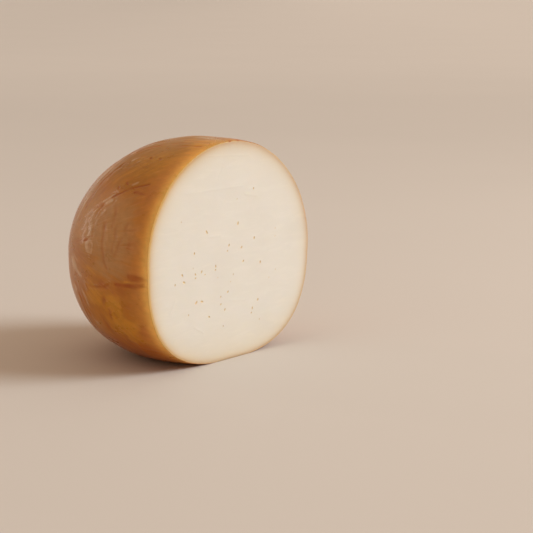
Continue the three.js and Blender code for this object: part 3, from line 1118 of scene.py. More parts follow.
@dataclass(frozen=True)
class Fineness:
    """How finely the skin is divided. Sizes are in mm and turns in degrees."""

    points_round: int = 480
    near_step: float = 0.55
    far_step: float = 1.15
    near_depth: float = 62.0
    seen_turns: Place = (82.0, 238.0)
    seen_fade: float = 15.0
    seen_density: float = 1.75
    shortest_step: float = 0.19
    fewest_points: int = 35
    most_halvings: int = 4
    edge_radius: float = 0.3
    edge_steps: int = 4
    # Two rings that follow the rim on the face, and how far in the face's relief is whole.
    face_insets: Place = (0.6, 1.4)
    face_relief: float = 2.0
    # Corners of the face's triangles that lie closer together than this would be joined.
    joined_within: float = 1e-6
    # Samples for turns and depths, many times as fine as the rings.
    turn_samples: int = 7201
    depth_samples: int = 4001


class SurfaceDraft(NamedTuple):
    """Vertices, faces and masks of one closed surface, before it becomes a mesh."""

    vertices: Array
    quads: Array
    triangles: Array
    face_triangles: Array
    masks: dict[str, Array]


@dataclass(frozen=True)
class Fringe:
    """How the colour beside the cut's edge, partly painted glow of light through the thin rind, changes
    round the ball. Turns are in degrees.
    """

    golden_turn: float = 171.0
    golden_from: float = 100.0
    golden_to: float = 20.0
    dull: float = 0.05
    widest_turn: float = 110.0
    narrow: float = 0.6
    wide: float = 1.05

    def golden(self, turn: Array) -> Array:
        """Strength of the golden band: 1 on one side, dull on the other.

        Args:
            turn: Turn in radians.

        Returns:
            The strength at each turn.
        """
        gap = np.abs(np.angle(np.exp(1j * (turn - math.radians(self.golden_turn)))))
        golden = smooth_step(math.radians(self.golden_from), math.radians(self.golden_to), gap)
        return self.dull + (1.0 - self.dull) * golden

    def breadth(self, turn: Array) -> Array:
        """Width factor of the tan rim: a cosine wave between narrow and wide."""
        wave = 0.5 + 0.5 * np.cos(turn - math.radians(self.widest_turn))
        return self.narrow + (self.wide - self.narrow) * wave


@dataclass(frozen=True)
class Cheese:
    """The cut ball as one closed mesh, with masks for its two finishes."""

    form: BallForm
    marks: SkinMarks
    face: CutFace
    fineness: Fineness
    fringe: Fringe = Fringe()

    def turns(self) -> Array:
        """Turns of a full ring in radians, closer together on the side that is seen.

        The spacing is the inverse of a density that is higher between two turns, and each turn is
        where the summed density has grown by one step.

        Returns:
            The turns, rising from the underside's middle.
        """
        fineness = self.fineness
        fine = np.linspace(-90.0, 270.0, fineness.turn_samples)
        (low, high), fade = fineness.seen_turns, fineness.seen_fade
        seen = smooth_step(low - fade, low, fine) * smooth_step(high + fade, high, fine)
        total = np.cumsum(1.0 + (fineness.seen_density - 1.0) * seen)
        total = (total - total[0]) / (total[-1] - total[0])
        share = np.arange(fineness.points_round) / fineness.points_round
        return np.radians(np.interp(share, total, fine))

    def depths(self) -> Array:
        """Depths of the rings behind the cut's edge, evenly spaced along the skin in two paces.

        Returns:
            Rising depths, without the tip itself.
        """
        fineness, form = self.fineness, self.form
        start = math.asin(fineness.edge_radius / form.length)
        depth = form.length * np.sin(np.linspace(start, np.pi / 2.0, fineness.depth_samples))
        side = form.section(depth).half_width
        step = np.hypot(np.diff(depth), np.diff(side))
        pace = np.where(depth[1:] < fineness.near_depth, fineness.near_step, fineness.far_step)
        travelled = np.concatenate([[0.0], np.cumsum(step / pace)])
        count = int(travelled[-1])
        return np.interp(np.arange(count) * travelled[-1] / count, travelled, depth)

    def edge(self) -> tuple[Array, Array]:
        """The rounded edge between the cut and the skin, from the cut outwards.

        At the angle a it lies R (1 - cos a) behind the cut and R (1 - sin a) inside the skin.

        Returns:
            Depths, and distances inside the skin.
        """
        angle = np.linspace(0.0, np.pi / 2.0, self.fineness.edge_steps + 1)[:-1]
        radius = self.fineness.edge_radius
        return radius * (1.0 - np.cos(angle)), radius * (1.0 - np.sin(angle))

    def ring_counts(self, depth: Array) -> Array:
        """Number of points in each ring, halved for as long as they are too close together.

        Args:
            depth: Depth of each ring.

        Returns:
            The counts.
        """
        fineness = self.fineness
        girth = 2.0 * np.pi * self.form.section(depth).half_width
        count = np.full(len(depth), fineness.points_round)
        for _ in range(fineness.most_halvings):
            crowded = girth / count < 2.0 * fineness.shortest_step * fineness.seen_density
            count = np.where(crowded & (count >= 2 * fineness.fewest_points), count // 2, count)
        return count

    def draft(self) -> SurfaceDraft:
        """Works out the whole closed surface.

        Returns:
            Its vertices in mm as x, depth and height, its faces, and its masks.
        """
        form = self.form
        turns = self.turns()
        edge_depth, edge_inset = self.edge()
        depth_of_ring = np.concatenate([edge_depth, self.depths()])
        inset_of_ring = np.concatenate([edge_inset, np.zeros(len(depth_of_ring) - len(edge_inset))])
        counts = self.ring_counts(depth_of_ring)
        starts = np.concatenate([[0], np.cumsum(counts)])
        turn = np.concatenate([turns[:: self.fineness.points_round // count] for count in counts])
        depth = np.repeat(depth_of_ring, counts)
        inset = np.repeat(inset_of_ring, counts)
        smooth = Spots(depth, turn, form.reach(depth, turn))
        radius = smooth.radius + self.marks.relief(smooth) - inset
        skin = form.place(smooth._replace(radius=radius))
        quads, triangles = self.stitch(counts, starts)
        tip = len(skin)
        last = starts[-2] + np.arange(counts[-1])
        triangles.append(np.stack([last, np.full(len(last), tip), np.roll(last, -1)], axis=1))
        skin = np.concatenate([skin, [[0.0, form.length, form.tip_height]]])
        outline = Outline(skin[: counts[0]][:, [0, 2]])
        inner, face_triangles = self.fill_face(outline, len(skin))
        return SurfaceDraft(
            vertices=np.concatenate([skin, inner]),
            quads=np.concatenate(quads),
            triangles=np.concatenate(triangles),
            face_triangles=face_triangles,
            masks=self.masks(smooth, inner[:, [0, 2]], outline),
        )

    def stitch(self, counts: Array, starts: Array) -> tuple[list[Array], list[Array]]:
        """Faces between neighbouring rings.

        Rings of equal count are joined by quads. Where the count halves, each point of the rear ring
        takes two of the front one by three triangles.

        Args:
            counts: Points in each ring.
            starts: Index of each ring's first point.

        Returns:
            Lists of quad and triangle arrays.
        """
        quads, triangles = [], []
        for ring in range(len(counts) - 1):
            front = starts[ring] + np.arange(counts[ring])
            back = starts[ring + 1] + np.arange(counts[ring + 1])
            if counts[ring] == counts[ring + 1]:
                quads.append(np.stack([front, back, np.roll(back, -1), np.roll(front, -1)], axis=1))
                continue
            first, second, third = front[::2], front[1::2], np.roll(front[::2], -1)
            after = np.roll(back, -1)
            triangles.append(np.stack([first, back, second], axis=1))
            triangles.append(np.stack([second, back, after], axis=1))
            triangles.append(np.stack([second, after, third], axis=1))
        return quads, triangles

    def fill_face(self, outline: Outline, first: int) -> tuple[Array, Array]:
        """Triangulates the cut face inside its rim.

        Two rings of points follow the rim inwards, and the Delaunay triangulation of them and of the
        face's places, bounded by the rim, makes the triangles.

        Args:
            outline: The innermost edge ring.
            first: Index that the first new vertex gets.

        Returns:
            The new vertices as x, depth and height, and the triangles.
        """
        rim, fineness = outline.rim, self.fineness
        outer, inner = (outline.followed(inset) for inset in fineness.face_insets)
        follow = [outer[::2], inner[1::2]]
        points = np.concatenate([rim, *follow, self.face.places(Outline(follow[-1]))])
        index = np.arange(len(rim))
        edges = np.stack([index, np.roll(index, -1)], axis=1)
        flat = [Vector(point) for point in points.tolist()]
        # The 1 asks for the triangles inside the edges.
        result = delaunay_2d_cdt(flat, edges.tolist(), [], 1, fineness.joined_within)
        if len(result[0]) != len(points):
            raise RuntimeError(f"the cut face has {len(result[0])} corners instead of {len(points)}")
        triangles = np.array(result[2], dtype=int)
        sink = self.face.sink(points)
        sink *= smooth_step(0.0, fineness.face_relief, outline.inset(points))
        places = np.stack([points[:, 0], sink, points[:, 1]], axis=1)[len(rim) :]
        number = np.concatenate([index, first + np.arange(len(places))])
        return places, number[triangles]

    def masks(self, skin: Spots, face: Array, outline: Outline) -> dict[str, Array]:
        """The masks of every vertex: first the skin's, then the tip's, then the face's.

        Args:
            skin: The skin's ring vertices on the smooth form.
            face: The vertices inside the face as rows of x and height.
            outline: The face's rim.

        Returns:
            Masks by name: the tints, edge (mm behind the cut on the skin, and less than 0 on the
            face by the distance from its rim), pit (inside an eye), and golden and breadth (see the
            fringe).
        """
        ahead, after = (0, 1 + len(face)), (1 + len(skin.depth), 0)
        masks = {name: np.pad(mask, ahead) for name, mask in self.marks.masks(skin).items()}
        behind = -np.maximum(outline.inset(face), 0.0)
        masks["edge"] = np.concatenate([skin.depth, [self.form.length], behind])
        masks["pit"] = np.pad(self.face.pit(face), after)
        # The tip counts as facing up.
        side = np.concatenate([skin.turn, [np.pi / 2.0], outline.angle(face)])
        masks["golden"] = self.fringe.golden(side)
        masks["breadth"] = self.fringe.breadth(side)
        return masks

    def build(self, finishes: Sequence[bpy.types.Material]) -> bpy.types.Object:
        """Makes the mesh object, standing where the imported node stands.

        Args:
            finishes: The rind's material and the paste's.

        Returns:
            The cheese.
        """
        draft = self.draft()
        low, high = (np.array(corner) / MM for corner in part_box(NODE))
        own_low, own_high = draft.vertices.min(axis=0), draft.vertices.max(axis=0)
        shift = (low + high - own_low - own_high) / 2.0
        shift[2] = low[2] - own_low[2]
        vertices = draft.vertices + shift
        mesh = bpy.data.meshes.new("cheese")
        faces = [*draft.quads.tolist(), *draft.triangles.tolist(), *draft.face_triangles.tolist()]
        mesh.from_pydata((vertices * MM).tolist(), [], faces)
        for finish in finishes:
            mesh.materials.append(finish)
        skin_faces = len(draft.quads) + len(draft.triangles)
        paste = (np.arange(len(mesh.polygons)) >= skin_faces).astype(np.int32)
        mesh.polygons.foreach_set("material_index", paste)
        mesh.polygons.foreach_set("use_smooth", np.ones(len(mesh.polygons), dtype=bool))
        for name, mask in draft.masks.items():
            layer = mesh.attributes.new(name, "FLOAT", "POINT")
            layer.data.foreach_set("value", mask.astype(np.float32))
        drawn = self.marks.drawn(draft.vertices) * MM
        layer = mesh.attributes.new("drawn", "FLOAT_VECTOR", "POINT")
        layer.data.foreach_set("vector", drawn.astype(np.float32).ravel())
        mesh.update()
        triangles = 2 * len(draft.quads) + len(draft.triangles) + len(draft.face_triangles)
        log.info("cheese: %d vertices, %d triangles, shift %s mm", len(vertices), triangles, shift)
        return placed("cheese", mesh)


# ---------------------------------------------------------------------------------------- finishes


class Nodes:
    """A node tree, with short calls for its nodes."""

    def __init__(self, tree: bpy.types.NodeTree) -> None:
        """Works on a tree."""
        self.tree = tree

    def put(self, node: bpy.types.Node, socket: int | str, value: Value) -> None:
        """Gives a node's input its value.

        Args:
            node: The node.
            socket: Number or name of the input.
            value: What it gets.
        """
        entry = node.inputs[socket]
        if isinstance(value, Socket):
            self.tree.links.new(value, entry)
        else:
            entry.default_value = (*value, 1.0) if entry.type == "RGBA" else value

    def add(
        self, kind: str, values: dict[int | str, Value] | None = None, **settings: object
    ) -> bpy.types.bpy_prop_collection:
        """Adds a shader node.

        Args:
            kind: Its type, without the leading ShaderNode.
            values: Values of its inputs, by number or name.
            settings: Its own properties.

        Returns:
            Its outputs.
        """
        node = self.tree.nodes.new(f"ShaderNode{kind}")
        for name, setting in settings.items():
            setattr(node, name, setting)
        for socket, value in (values or {}).items():
            self.put(node, socket, value)
        return node.outputs

    def math(self, operation: str, *values: Value) -> Socket:
        """Result of an operation on numbers."""
        return self.add("Math", dict(enumerate(values)), operation=operation)[0]

    def fade(
        self, value: Value, start: float, end: float, low: float = 0.0, high: float = 1.0
    ) -> Socket:
        """A smooth change from low at start to high at end.

        Args:
            value: What the change follows.
            start: Value where it begins.
            end: Value where it is done.
            low: Result up to the start.
            high: Result from the end on.

        Returns:
            The result's socket.
        """
        values = dict(enumerate((value, start, end, low, high)))
        return self.add("MapRange", values, interpolation_type="SMOOTHSTEP")["Result"]

    def mix(self, share: Value, first: Value, second: Value) -> Socket:
        """Colour that goes from the first to the second with the share."""
        return self.add("Mix", {0: share, 6: first, 7: second}, data_type="RGBA")[2]

    def scaled(self, colour: Value, factor: Value) -> Socket:
        """A colour times a factor."""
        return self.add("VectorMath", {0: colour, "Scale": factor}, operation="SCALE")["Vector"]

    def tinted(self, colour: Value, other: Value) -> Socket:
        """A colour or vector times another, part by part."""
        return self.add("VectorMath", {0: colour, 1: other}, operation="MULTIPLY")["Vector"]

    def towards(self, vector: Socket, azimuth: float) -> Socket:
        """How far a vector goes towards an azimuth in degrees."""
        values = {0: vector, 1: direction(azimuth, 0.0)}
        return self.add("VectorMath", values, operation="DOT_PRODUCT")["Value"]


def mottle_group() -> bpy.types.NodeTree:
    """The soft cloudiness that every finish has, as a node group.

    The colour is multiplied by 1 + Amount * (noise - 0.5) * 2, with a noise of the given size that is
    drawn out along the ball's length.

    Returns:
        The group, with inputs Colour, Size, Amount and Stretch and outputs Colour and Cloud.
    """
    tree = bpy.data.node_groups.new("Mottle", "ShaderNodeTree")
    for name, way, kind in (
        ("Colour", "INPUT", "Color"),
        ("Size", "INPUT", "Float"),
        ("Amount", "INPUT", "Float"),
        ("Stretch", "INPUT", "Float"),
        ("Colour", "OUTPUT", "Color"),
        ("Cloud", "OUTPUT", "Float"),
    ):
        tree.interface.new_socket(name, in_out=way, socket_type=f"NodeSocket{kind}")
    given, result = tree.nodes.new("NodeGroupInput").outputs, tree.nodes.new("NodeGroupOutput")
    nodes = Nodes(tree)
    finer = {"X": 1.0, "Y": nodes.math("DIVIDE", 1.0, given["Stretch"]), "Z": 1.0}
    place = nodes.tinted(nodes.add("TexCoord")["Object"], nodes.add("CombineXYZ", finer)[0])
    scale = nodes.math("DIVIDE", 1.0, given["Size"])
    values = {"Vector": place, "Scale": scale, "Detail": 4.0, "Roughness": 0.55}
    noise = nodes.add("TexNoise", values)["Fac"]
    centred = nodes.math("MULTIPLY_ADD", noise, 2.0, -1.0)
    gain = nodes.math("MULTIPLY_ADD", centred, given["Amount"], 1.0)
    nodes.put(result, "Colour", nodes.scaled(given["Colour"], gain))
    nodes.put(result, "Cloud", noise)
    return tree


class Grain(NamedTuple):
    """A noise: width of its lumps in metres, how much finer it is along each axis, its detail.

    Swirl distorts it. It lies on Object coordinates, or on the skin's own, whose third axis runs
    towards the knot.
    """

    size: float
    finer: Colour = WHITE
    detail: float = 3.0
    swirl: float = 0.0
    to_knot: bool = False


class Cloud(NamedTuple):
    """What the mottle group gets: size in metres, amount and stretch."""

    size: float
    amount: float
    stretch: float = 1.0


class Scatter(NamedTuple):
    """Light that goes into a finish: its share, how far each colour goes, and the unit in metres."""

    share: float
    reach: Colour
    unit: float


class Sheet(Nodes):
    """A material's node tree, with short calls for the mesh's masks, noises and the shader."""

    def __init__(self, name: str) -> None:
        """Starts a material with its Principled shader.

        Args:
            name: The material's name.
        """
        self.material = bpy.data.materials.new(name)
        self.material.use_nodes = True
        super().__init__(self.material.node_tree)
        self.place = self.add("TexCoord")["Object"]

    def attribute(self, name: str, output: str = "Fac") -> Socket:
        """One of the mesh's masks, or another attribute."""
        return self.add("Attribute", attribute_name=name)[output]

    def noise(self, grain: Grain) -> Socket:
        """A noise.

        Args:
            grain: What it is like.

        Returns:
            Its socket, about 0.3 to 0.7.
        """
        place = self.attribute("drawn", "Vector") if grain.to_knot else self.place
        values = {
            "Vector": self.add("Mapping", {"Vector": place, "Scale": grain.finer})["Vector"],
            "Scale": 1.0 / grain.size,
            "Detail": grain.detail,
            "Distortion": grain.swirl,
        }
        return self.add("TexNoise", values)["Fac"]

    def mottled(
        self, mottle: bpy.types.NodeTree, colour: Socket, cloud: Cloud
    ) -> bpy.types.bpy_prop_collection:
        """Places the mottle group.

        Args:
            mottle: The group.
            colour: What it mottles.
            cloud: Its other inputs.

        Returns:
            Its outputs.
        """
        size, amount, stretch = cloud
        values = {"Colour": colour, "Size": size, "Amount": amount, "Stretch": stretch}
        return self.add("Group", values, node_tree=mottle)

    def fall(self, away: Value, width: Value, power: float) -> Socket:
        """Falls off as exp(-(away / width)^power), and is 1 where away is negative."""
        share = self.math("DIVIDE", self.math("MAXIMUM", away, 0.0), width)
        return self.math("EXPONENT", self.math("MULTIPLY", self.math("POWER", share, power), -1.0))

    def grained(self, mask: Value, noise: Socket, amount: float) -> Socket:
        """A mask with the noise's departure from 0.5 added, times the amount."""
        centred = self.math("SUBTRACT", noise, 0.5)
        return self.math("ADD", mask, self.math("MULTIPLY", centred, amount))

    def bump(self, height: Socket, distance: float, strength: float) -> Socket:
        """A normal from a height map, whose full height is the distance in metres."""
        values = {"Height": height, "Distance": distance, "Strength": strength}
        return self.add("Bump", values)["Normal"]

    def shaded(self, values: dict[str, Value], scatter: Scatter | None = None) -> bpy.types.Material:
        """Gives the shader its values.

        Args:
            values: Values of its inputs, by name.
            scatter: The light that goes in, if any.

        Returns:
            The finished material.
        """
        if scatter is not None:
            names = ("Subsurface Weight", "Subsurface Radius", "Subsurface Scale")
            values = {**values, **dict(zip(names, scatter))}
        for name, value in values.items():
            self.put(self.tree.nodes["Principled BSDF"], name, value)
        return self.material


class Tone(NamedTuple):
    """A painted colour, and how far a noise raises and lowers its mask."""

    colour: Colour
    grain: float


class Band(NamedTuple):
    """A band of colour beside the cut: its width in mm, and how far a noise moves its edge."""

    colour: Colour
    width: float
    ragged: float = 0.0


@dataclass(frozen=True)
class RindFinish:
    """The smoked rind: satin caramel brown, mottled with gold and rust, golden beside the cut, with
    painted highlights and painted shade among its marks.
    """

    mottle: bpy.types.NodeTree
    brown: Colour = (0.49, 0.175, 0.018)
    amber_brown: Colour = (0.53, 0.198, 0.016)
    deep: Tone = Tone((0.392, 0.155, 0.008), 0.8)
    tan: Tone = Tone((0.525, 0.260, 0.085), 0.9)
    gold: Tone = Tone((0.66, 0.287, 0.025), 1.5)
    rust: Tone = Tone((0.44, 0.122, 0.014), 1.6)
    # Pale marks: mostly painted highlights and sheen, partly a paler rind.
    pale: Tone = Tone((0.66, 0.41, 0.23), 1.2)
    # Painted shade on the ball's top: what its patches multiply the colour by, the bands beside the cut
    # too.
    smoke: Tone = Tone((0.90, 0.89, 0.76), 1.2)
    # Dark marks: the rind's dark veins, also painted shade in grooves, below a fold and under the cut's
    # lower edge.
    dark: Colour = (0.39, 0.088, 0.003)
    # Bands beside the cut: golden rind, partly painted glow of light through the thin rind at the cut.
    ember: Band = Band((0.69, 0.270, 0.058), 10.0, 8.0)
    amber: Band = Band((0.93, 0.46, 0.080), 4.7, 1.5)
    honey: Band = Band((0.97, 0.565, 0.145), 2.7)
    crust: Band = Band((0.76, 0.45, 0.135), 0.35)
    # The crust where the golden band is dull.
    dull_crust: Colour = (0.61, 0.37, 0.12)
    # The honey's strength is the golden band's to this power.
    honey_power: float = 2.5
    ground: Grain = Grain(0.030, (1.0, 0.6, 1.0))
    streak: Grain = Grain(0.0045, (1.0, 1.0, 4.5 / 16.0), 4.0, 0.6, to_knot=True)
    hair: Grain = Grain(0.0018, (1.0, 1.0, 1.8 / 8.0), 3.0, 0.6, to_knot=True)
    # Values of a noise or mask between which a colour sets in.
    amber_fade: Place = (0.38, 0.62)
    rust_fade: Place = (0.50, 0.80)
    tint_fade: Place = (0.05, 0.95)
    hair_fade: Place = (0.25, 0.75)
    rust_share: float = 0.35
    hair_tones: Place = (0.97, 1.03)
    soft: Cloud = Cloud(0.012, 0.16, 1.5)
    fine: Cloud = Cloud(0.003, 0.12, 1.5)
    cloud_fade: Place = (0.3, 0.7)
    roughness: Place = (0.26, 0.36)
    scatter: Scatter = Scatter(0.15, (1.0, 0.45, 0.18), 0.0015)
    specular: float = 0.23
    specular_tint: Colour = (1.0, 0.92, 0.8)
    # The thin glossy coat is gone where the mask of the deep brown comes to this.
    coat: float = 0.22
    coat_gone: float = 0.9
    coat_roughness: float = 0.10
    # Height in metres and strength of the fine relief.
    relief: Place = (0.00012, 0.2)

    def material(self) -> bpy.types.Material:
        """Builds the rind's material.

        The broad ground of brown and amber brown takes streaks of rust and the painted tints, whose
        masks a noise drawn out towards the knot raises and lowers; the pale tint is mostly painted
        highlights and sheen. Beside the cut it turns to ember, amber, honey and, on the edge itself,
        crust, which fade as exp(-(d / width)^2) with the distance d behind it; these bands are partly
        painted glow of light through the thin rind. The painted shade of the top and the dark marks,
        which are partly painted shade, lie over all of that.

        Returns:
            The material.
        """
        sheet = Sheet("smoked rind")
        ground, streak, hair = (sheet.noise(grain) for grain in (self.ground, self.streak, self.hair))
        base = sheet.mix(sheet.fade(ground, *self.amber_fade), self.brown, self.amber_brown)
        rusty = sheet.fade(streak, *self.rust_fade, 0.0, self.rust_share)
        base = sheet.mix(rusty, base, self.rust.colour)
        for tint, tone, noise in (
            (DEEP, self.deep, streak),
            (TAN, self.tan, streak),
            (GOLD, self.gold, streak),
            (RUST, self.rust, streak),
            (PALE, self.pale, hair),
        ):
            share = sheet.grained(sheet.attribute(tint.value), noise, tone.grain)
            base = sheet.mix(sheet.fade(share, *self.tint_fade), base, tone.colour)
        away, golden = sheet.attribute("edge"), sheet.attribute("golden")
        # The bands beside the cut, partly painted glow of light through the thin rind.
        bright = sheet.math("POWER", golden, self.honey_power)
        for band, noise, strength in (
            (self.ember, ground, golden),
            (self.amber, streak, golden),
            (self.honey, streak, bright),
        ):
            near = sheet.fall(sheet.grained(away, noise, band.ragged), band.width, 2.0)
            base = sheet.mix(sheet.math("MULTIPLY", near, strength), base, band.colour)
        crust = sheet.mix(bright, self.dull_crust, self.crust.colour)
        base = sheet.mix(sheet.fall(away, self.crust.width, 2.0), base, crust)
        # Painted shade: the top of the ball is dimmed and warmed, the bands beside the cut too.
        smoked = sheet.grained(sheet.attribute(SMOKE.value), streak, self.smoke.grain)
        smoked = sheet.fade(smoked, *self.tint_fade)
        base = sheet.tinted(base, sheet.mix(smoked, WHITE, self.smoke.colour))
        # Dark marks, partly painted shade in grooves, below a fold and under the cut's lower edge.
        base = sheet.mix(sheet.attribute(DARK.value), base, self.dark)
        soft = sheet.mottled(self.mottle, base, self.soft)
        fine = sheet.mottled(self.mottle, soft["Colour"], self.fine)
        tone = sheet.fade(hair, *self.hair_fade, *self.hair_tones)
        coat = sheet.fade(sheet.attribute(DEEP.value), 0.0, self.coat_gone, self.coat, 0.0)
        values = {
            "Base Color": sheet.scaled(fine["Colour"], tone),
            "Roughness": sheet.fade(soft["Cloud"], *self.cloud_fade, *self.roughness),
            "Specular IOR Level": self.specular,
            "Specular Tint": self.specular_tint,
            "Coat Weight": coat,
            "Coat Roughness": self.coat_roughness,
            "Normal": sheet.bump(hair, *self.relief),
        }
        return sheet.shaded(values, self.scatter)


@dataclass(frozen=True)
class PasteFinish:
    """The cut paste: smooth ivory that lets light in, tan towards the rind, darker in the eyes. The tan
    rim is partly painted glow of light scattered through the paste.
    """

    mottle: bpy.types.NodeTree
    ivory: Colour = (0.785, 0.725, 0.64)
    eye: Colour = (0.75, 0.55, 0.29)
    # The rim's bands begin this far inside it, in mm.
    plateau: float = 0.6
    # The rim's cream and tan: the paste's own colour, partly painted glow of light scattered through
    # it.
    cream: Band = Band((0.735, 0.620, 0.462), 6.0)
    tan: Band = Band((0.63, 0.365, 0.11), 2.0)
    # Where the fringe is dull, the rim has this colour and this share of its strength.
    brown: Colour = (0.56, 0.36, 0.20)
    dull: float = 0.7
    # Below this height in metres the paste darkens to the share at the foot.
    foot_height: float = 0.030
    foot: Colour = (0.965, 0.94, 0.89)
    soft: Cloud = Cloud(0.018, 0.035)
    cloud_fade: Place = (0.3, 0.7)
    roughness: Place = (0.44, 0.54)
    smear: Grain = Grain(0.016, (1.0, 1.0, 4.5), 4.0, 0.8)
    smear_fade: Place = (0.45, 0.75)
    smear_tones: Place = (0.995, 1.022)
    scatter: Scatter = Scatter(0.35, (1.0, 0.78, 0.5), 0.0023)
    # The fine relief, with its height in metres and its strength.
    pore: Grain = Grain(0.0012)
    relief: Place = (0.00005, 0.4)

    def material(self) -> bpy.types.Material:
        """Builds the paste's material.

        From the rim inwards the cream and the tan fall off as exp(-d / width), d being the distance
        from the plateau's end, and their widths follow the fringe's breadth.

        Returns:
            The material.
        """
        sheet = Sheet("cut paste")
        inward = sheet.math("SUBTRACT", -self.plateau, sheet.attribute("edge"))
        breadth, golden = sheet.attribute("breadth"), sheet.attribute("golden")
        cream, tan = (
            sheet.fall(inward, sheet.math("MULTIPLY", breadth, band.width), 1.0)
            for band in (self.cream, self.tan)
        )
        base = sheet.mix(cream, self.ivory, self.cream.colour)
        tan = sheet.math("MULTIPLY", tan, sheet.fade(golden, 0.0, 1.0, self.dull))
        base = sheet.mix(tan, base, sheet.mix(golden, self.brown, self.tan.colour))
        base = sheet.mix(sheet.attribute("pit"), base, self.eye)
        height = sheet.add("SeparateXYZ", {0: sheet.place})["Z"]
        low = sheet.fade(height, self.foot_height, 0.0)
        base = sheet.tinted(base, sheet.mix(low, WHITE, self.foot))
        soft = sheet.mottled(self.mottle, base, self.soft)
        tone = sheet.fade(sheet.noise(self.smear), *self.smear_fade, *self.smear_tones)
        values = {
            "Base Color": sheet.scaled(soft["Colour"], tone),
            "Roughness": sheet.fade(soft["Cloud"], *self.cloud_fade, *self.roughness),
            "Normal": sheet.bump(sheet.noise(self.pore), *self.relief),
        }
        return sheet.shaded(values, self.scatter)


@dataclass(frozen=True)
class FloorFinish:
    """The studio's matt beige paper, with painted light in its colour: brighter far off, where the side
    box no longer reaches, and brighter towards one side. Distances are in metres.
    """

    mottle: bpy.types.NodeTree
    beige: Colour = (0.665, 0.605, 0.55)
    # Painted light: the far colour stands in for the side box's light, which does not reach the far
    # paper.
    far: Colour = (0.745, 0.680, 0.62)
    far_light_fade: Place = (0.9, 3.4)
    # Painted light: far off the paper is dimmer on one side than on the other.
    bright_azimuth: float = -49.2
    painted_light_reach: float = 1.5
    painted_light_tones: Place = (0.93, 1.06)
    soft: Cloud = Cloud(0.4, 0.02)
    roughness: float = 0.75
    specular: float = 0.2

    def material(self) -> bpy.types.Material:
        """Builds the floor's material.

        Returns:
            The material.
        """
        sheet = Sheet("beige paper")
        away = sheet.add("VectorMath", {0: sheet.place}, operation="LENGTH")["Value"]
        # Painted light: brighter far off and towards one side.
        base = sheet.mix(sheet.fade(away, *self.far_light_fade), self.beige, self.far)
        sideways = sheet.towards(sheet.place, self.bright_azimuth)
        reach = self.painted_light_reach
        base = sheet.scaled(base, sheet.fade(sideways, -reach, reach, *self.painted_light_tones))
        values = {
            "Base Color": sheet.mottled(self.mottle, base, self.soft)["Colour"],
            "Roughness": self.roughness,
            "Specular IOR Level": self.specular,
        }
        return sheet.shaded(values)


# ------------------------------------------------------------------------------ studio and camera


def facing(away: Vector) -> Euler:
    """Turn of a light that shines back along the way it is off."""
    return (-away).to_track_quat("-Z", "Y").to_euler()


@dataclass(frozen=True)
class Softbox:
    """A rectangular light that faces the cheese, placed by azimuth and elevation in degrees."""

    name: str
    azimuth: float
    elevation: float
    distance: float
    width: float
    height: float
    power: float
    colour: Colour

    def build(self, aim: Vector) -> bpy.types.Object:
        """Makes the light.

        Args:
            aim: What it faces.

        Returns:
            The light's object.
        """
        light = bpy.data.lights.new(self.name, "AREA")
        light.shape = "RECTANGLE"
        light.size = self.width
        light.size_y = self.height
        light.energy = self.power
        light.color = self.colour
        away = direction(self.azimuth, self.elevation)
        box = placed(self.name, light)
        box.visible_camera = False
        box.location = aim + away * self.distance
        box.rotation_euler = facing(away)
        return box


@dataclass(frozen=True)
class Window:
    """Wide soft daylight from far off, even over the whole floor. Angles in degrees."""

    azimuth: float = -50.0
    elevation: float = 30.0
    spread: float = 28.0
    strength: float = 1.85
    colour: Colour = (0.80, 0.93, 1.0)

    def build(self) -> bpy.types.Object:
        """Makes the light.

        Returns:
            The light's object.
        """
        light = bpy.data.lights.new("window", "SUN")
        light.angle = math.radians(self.spread)
        light.energy = self.strength
        light.color = self.colour
        window = placed("window", light)
        window.rotation_euler = facing(direction(self.azimuth, self.elevation))
        return window


@dataclass(frozen=True)
class Room:
    """The even light of a beige room, which is dimmer on one side. Its azimuth is in degrees."""

    level: Colour = (0.66, 0.54, 0.44)
    overhead: Colour = (0.66, 0.50, 0.37)
    dim: Colour = (0.305, 0.228, 0.168)
    blend_height: float = 0.6
    dim_azimuth: float = -139.0
    dim_from: float = -0.1
    dim_to: float = 0.85
    dim_height: float = 0.22

    def build(self) -> bpy.types.World:
        """Makes the world and sets it as the scene's.

        Its colour goes from level to overhead with the height of the direction, and to dim with the
        share of the direction that points to the dim side, but not at the horizon.

        Returns:
            The world.
        """
        world = bpy.data.worlds.new("room")
        world.use_nodes = True
        nodes = Nodes(world.node_tree)
        way = nodes.add("TexCoord")["Generated"]
        height = nodes.add("SeparateXYZ", {0: way})["Z"]
        upper = nodes.fade(height, 0.0, self.blend_height)
        sideways = nodes.fade(nodes.towards(way, self.dim_azimuth), self.dim_from, self.dim_to)
        raised = nodes.fade(height, 0.0, self.dim_height)
        colour = nodes.mix(upper, self.level, self.overhead)
        colour = nodes.mix(nodes.math("MULTIPLY", sideways, raised), colour, self.dim)
        nodes.put(nodes.tree.nodes["Background"], "Color", colour)
        bpy.context.scene.world = world
        return world


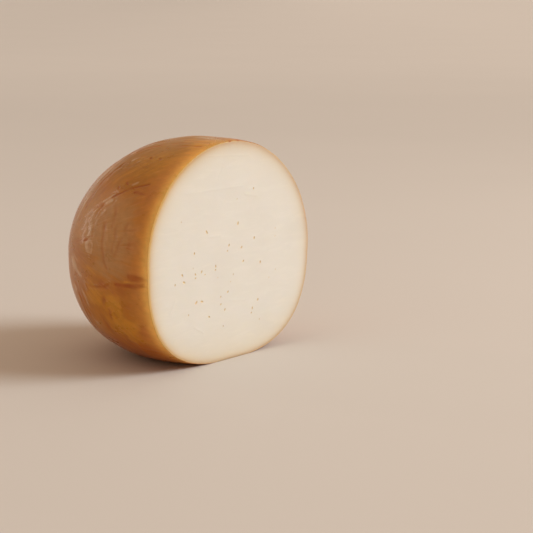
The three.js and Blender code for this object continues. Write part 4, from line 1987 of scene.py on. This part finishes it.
@dataclass(frozen=True)
class Studio:
    """A wide beige floor with its lights. Metres."""

    finish: FloorFinish
    radii: tuple[float, ...] = (0.4, 1.2, 4.0, 12.0, 40.0)
    sides: int = 64
    window: Window = Window()
    room: Room = Room()
    softboxes: tuple[Softbox, ...] = (
        Softbox("side box", -48.0, 38.0, 1.5, 0.8, 0.6, 5.0, (1.0, 0.95, 0.9)),
        Softbox("tall box", 104.0, 16.0, 1.5, 0.10, 0.9, 0.9, (1.0, 0.90, 0.82)),
    )

    def floor(self) -> bpy.types.Object:
        """Makes the floor: level rings about the origin, each a few times wider than the last.

        Returns:
            The floor's object.
        """
        around = 2.0 * np.pi * np.arange(self.sides) / self.sides
        radius = np.array(self.radii)[:, None]
        rows = len(self.radii)
        points = np.zeros((rows, self.sides, 3))
        points[..., 0] = radius * np.cos(around)
        points[..., 1] = radius * np.sin(around)
        index = np.arange(rows * self.sides).reshape(rows, self.sides)
        near, far = index[:-1], index[1:]
        quads = np.stack([near, far, np.roll(far, -1, axis=1), np.roll(near, -1, axis=1)], axis=-1)
        faces = [index[0].tolist(), *quads.reshape(-1, 4).tolist()]
        mesh = bpy.data.meshes.new("floor")
        mesh.from_pydata(points.reshape(-1, 3).tolist(), [], faces)
        mesh.materials.append(self.finish.material())
        return placed("floor", mesh)

    def build(self, aim: Vector) -> bpy.types.Object:
        """Makes the floor, the lights and the even light of the room.

        Args:
            aim: What the softboxes face.

        Returns:
            The floor.
        """
        self.window.build()
        self.room.build()
        for softbox in self.softboxes:
            softbox.build(aim)
        bpy.context.scene.view_settings.view_transform = "Standard"
        return self.floor()


@dataclass(frozen=True)
class Viewpoint:
    """The camera: a long lens that looks down a little on the cut and the ball's left side."""

    place: tuple[float, float, float] = (-0.6074, -0.6006, 0.2087)
    azimuth: float = -49.1717
    down: float = 10.7565
    lens: float = 100.0
    sensor: float = 36.0

    def build(self) -> bpy.types.Object:
        """Makes the camera and sets it as the scene's.

        Returns:
            The camera's object.
        """
        data = bpy.data.cameras.new("camera")
        data.lens = self.lens
        data.sensor_width = self.sensor
        data.dof.use_dof = False
        camera = placed("camera", data)
        camera.location = self.place
        camera.rotation_euler = (math.radians(90.0 - self.down), 0.0, math.radians(self.azimuth))
        bpy.context.scene.camera = camera
        return camera


def plain(corners: Iterable[Iterable[float]]) -> list[list[float]]:
    """Corners as plain lists of numbers."""
    return [[float(number) for number in corner] for corner in corners]


def main() -> None:
    """Builds the camera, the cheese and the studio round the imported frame."""
    logging.basicConfig(level=logging.INFO, format="%(name)s: %(message)s")
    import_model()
    packed_box = plain(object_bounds())
    Viewpoint().build()
    mottle = mottle_group()
    form = BallForm()
    cheese = Cheese(form, SkinMarks(form), CutFace(), Fineness()).build(
        [RindFinish(mottle).material(), PasteFinish(mottle).material()]
    )
    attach(cheese, BODY)
    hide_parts(NODE)
    log.info("cheese: rides on %s and stands for %s", BODY, NODE)
    low, high = (Vector(corner) for corner in packed_box)
    floor = Studio(FloorFinish(mottle)).build((low + high) / 2.0)
    log.info("floor: stage")


if __name__ == "__main__":
    main()
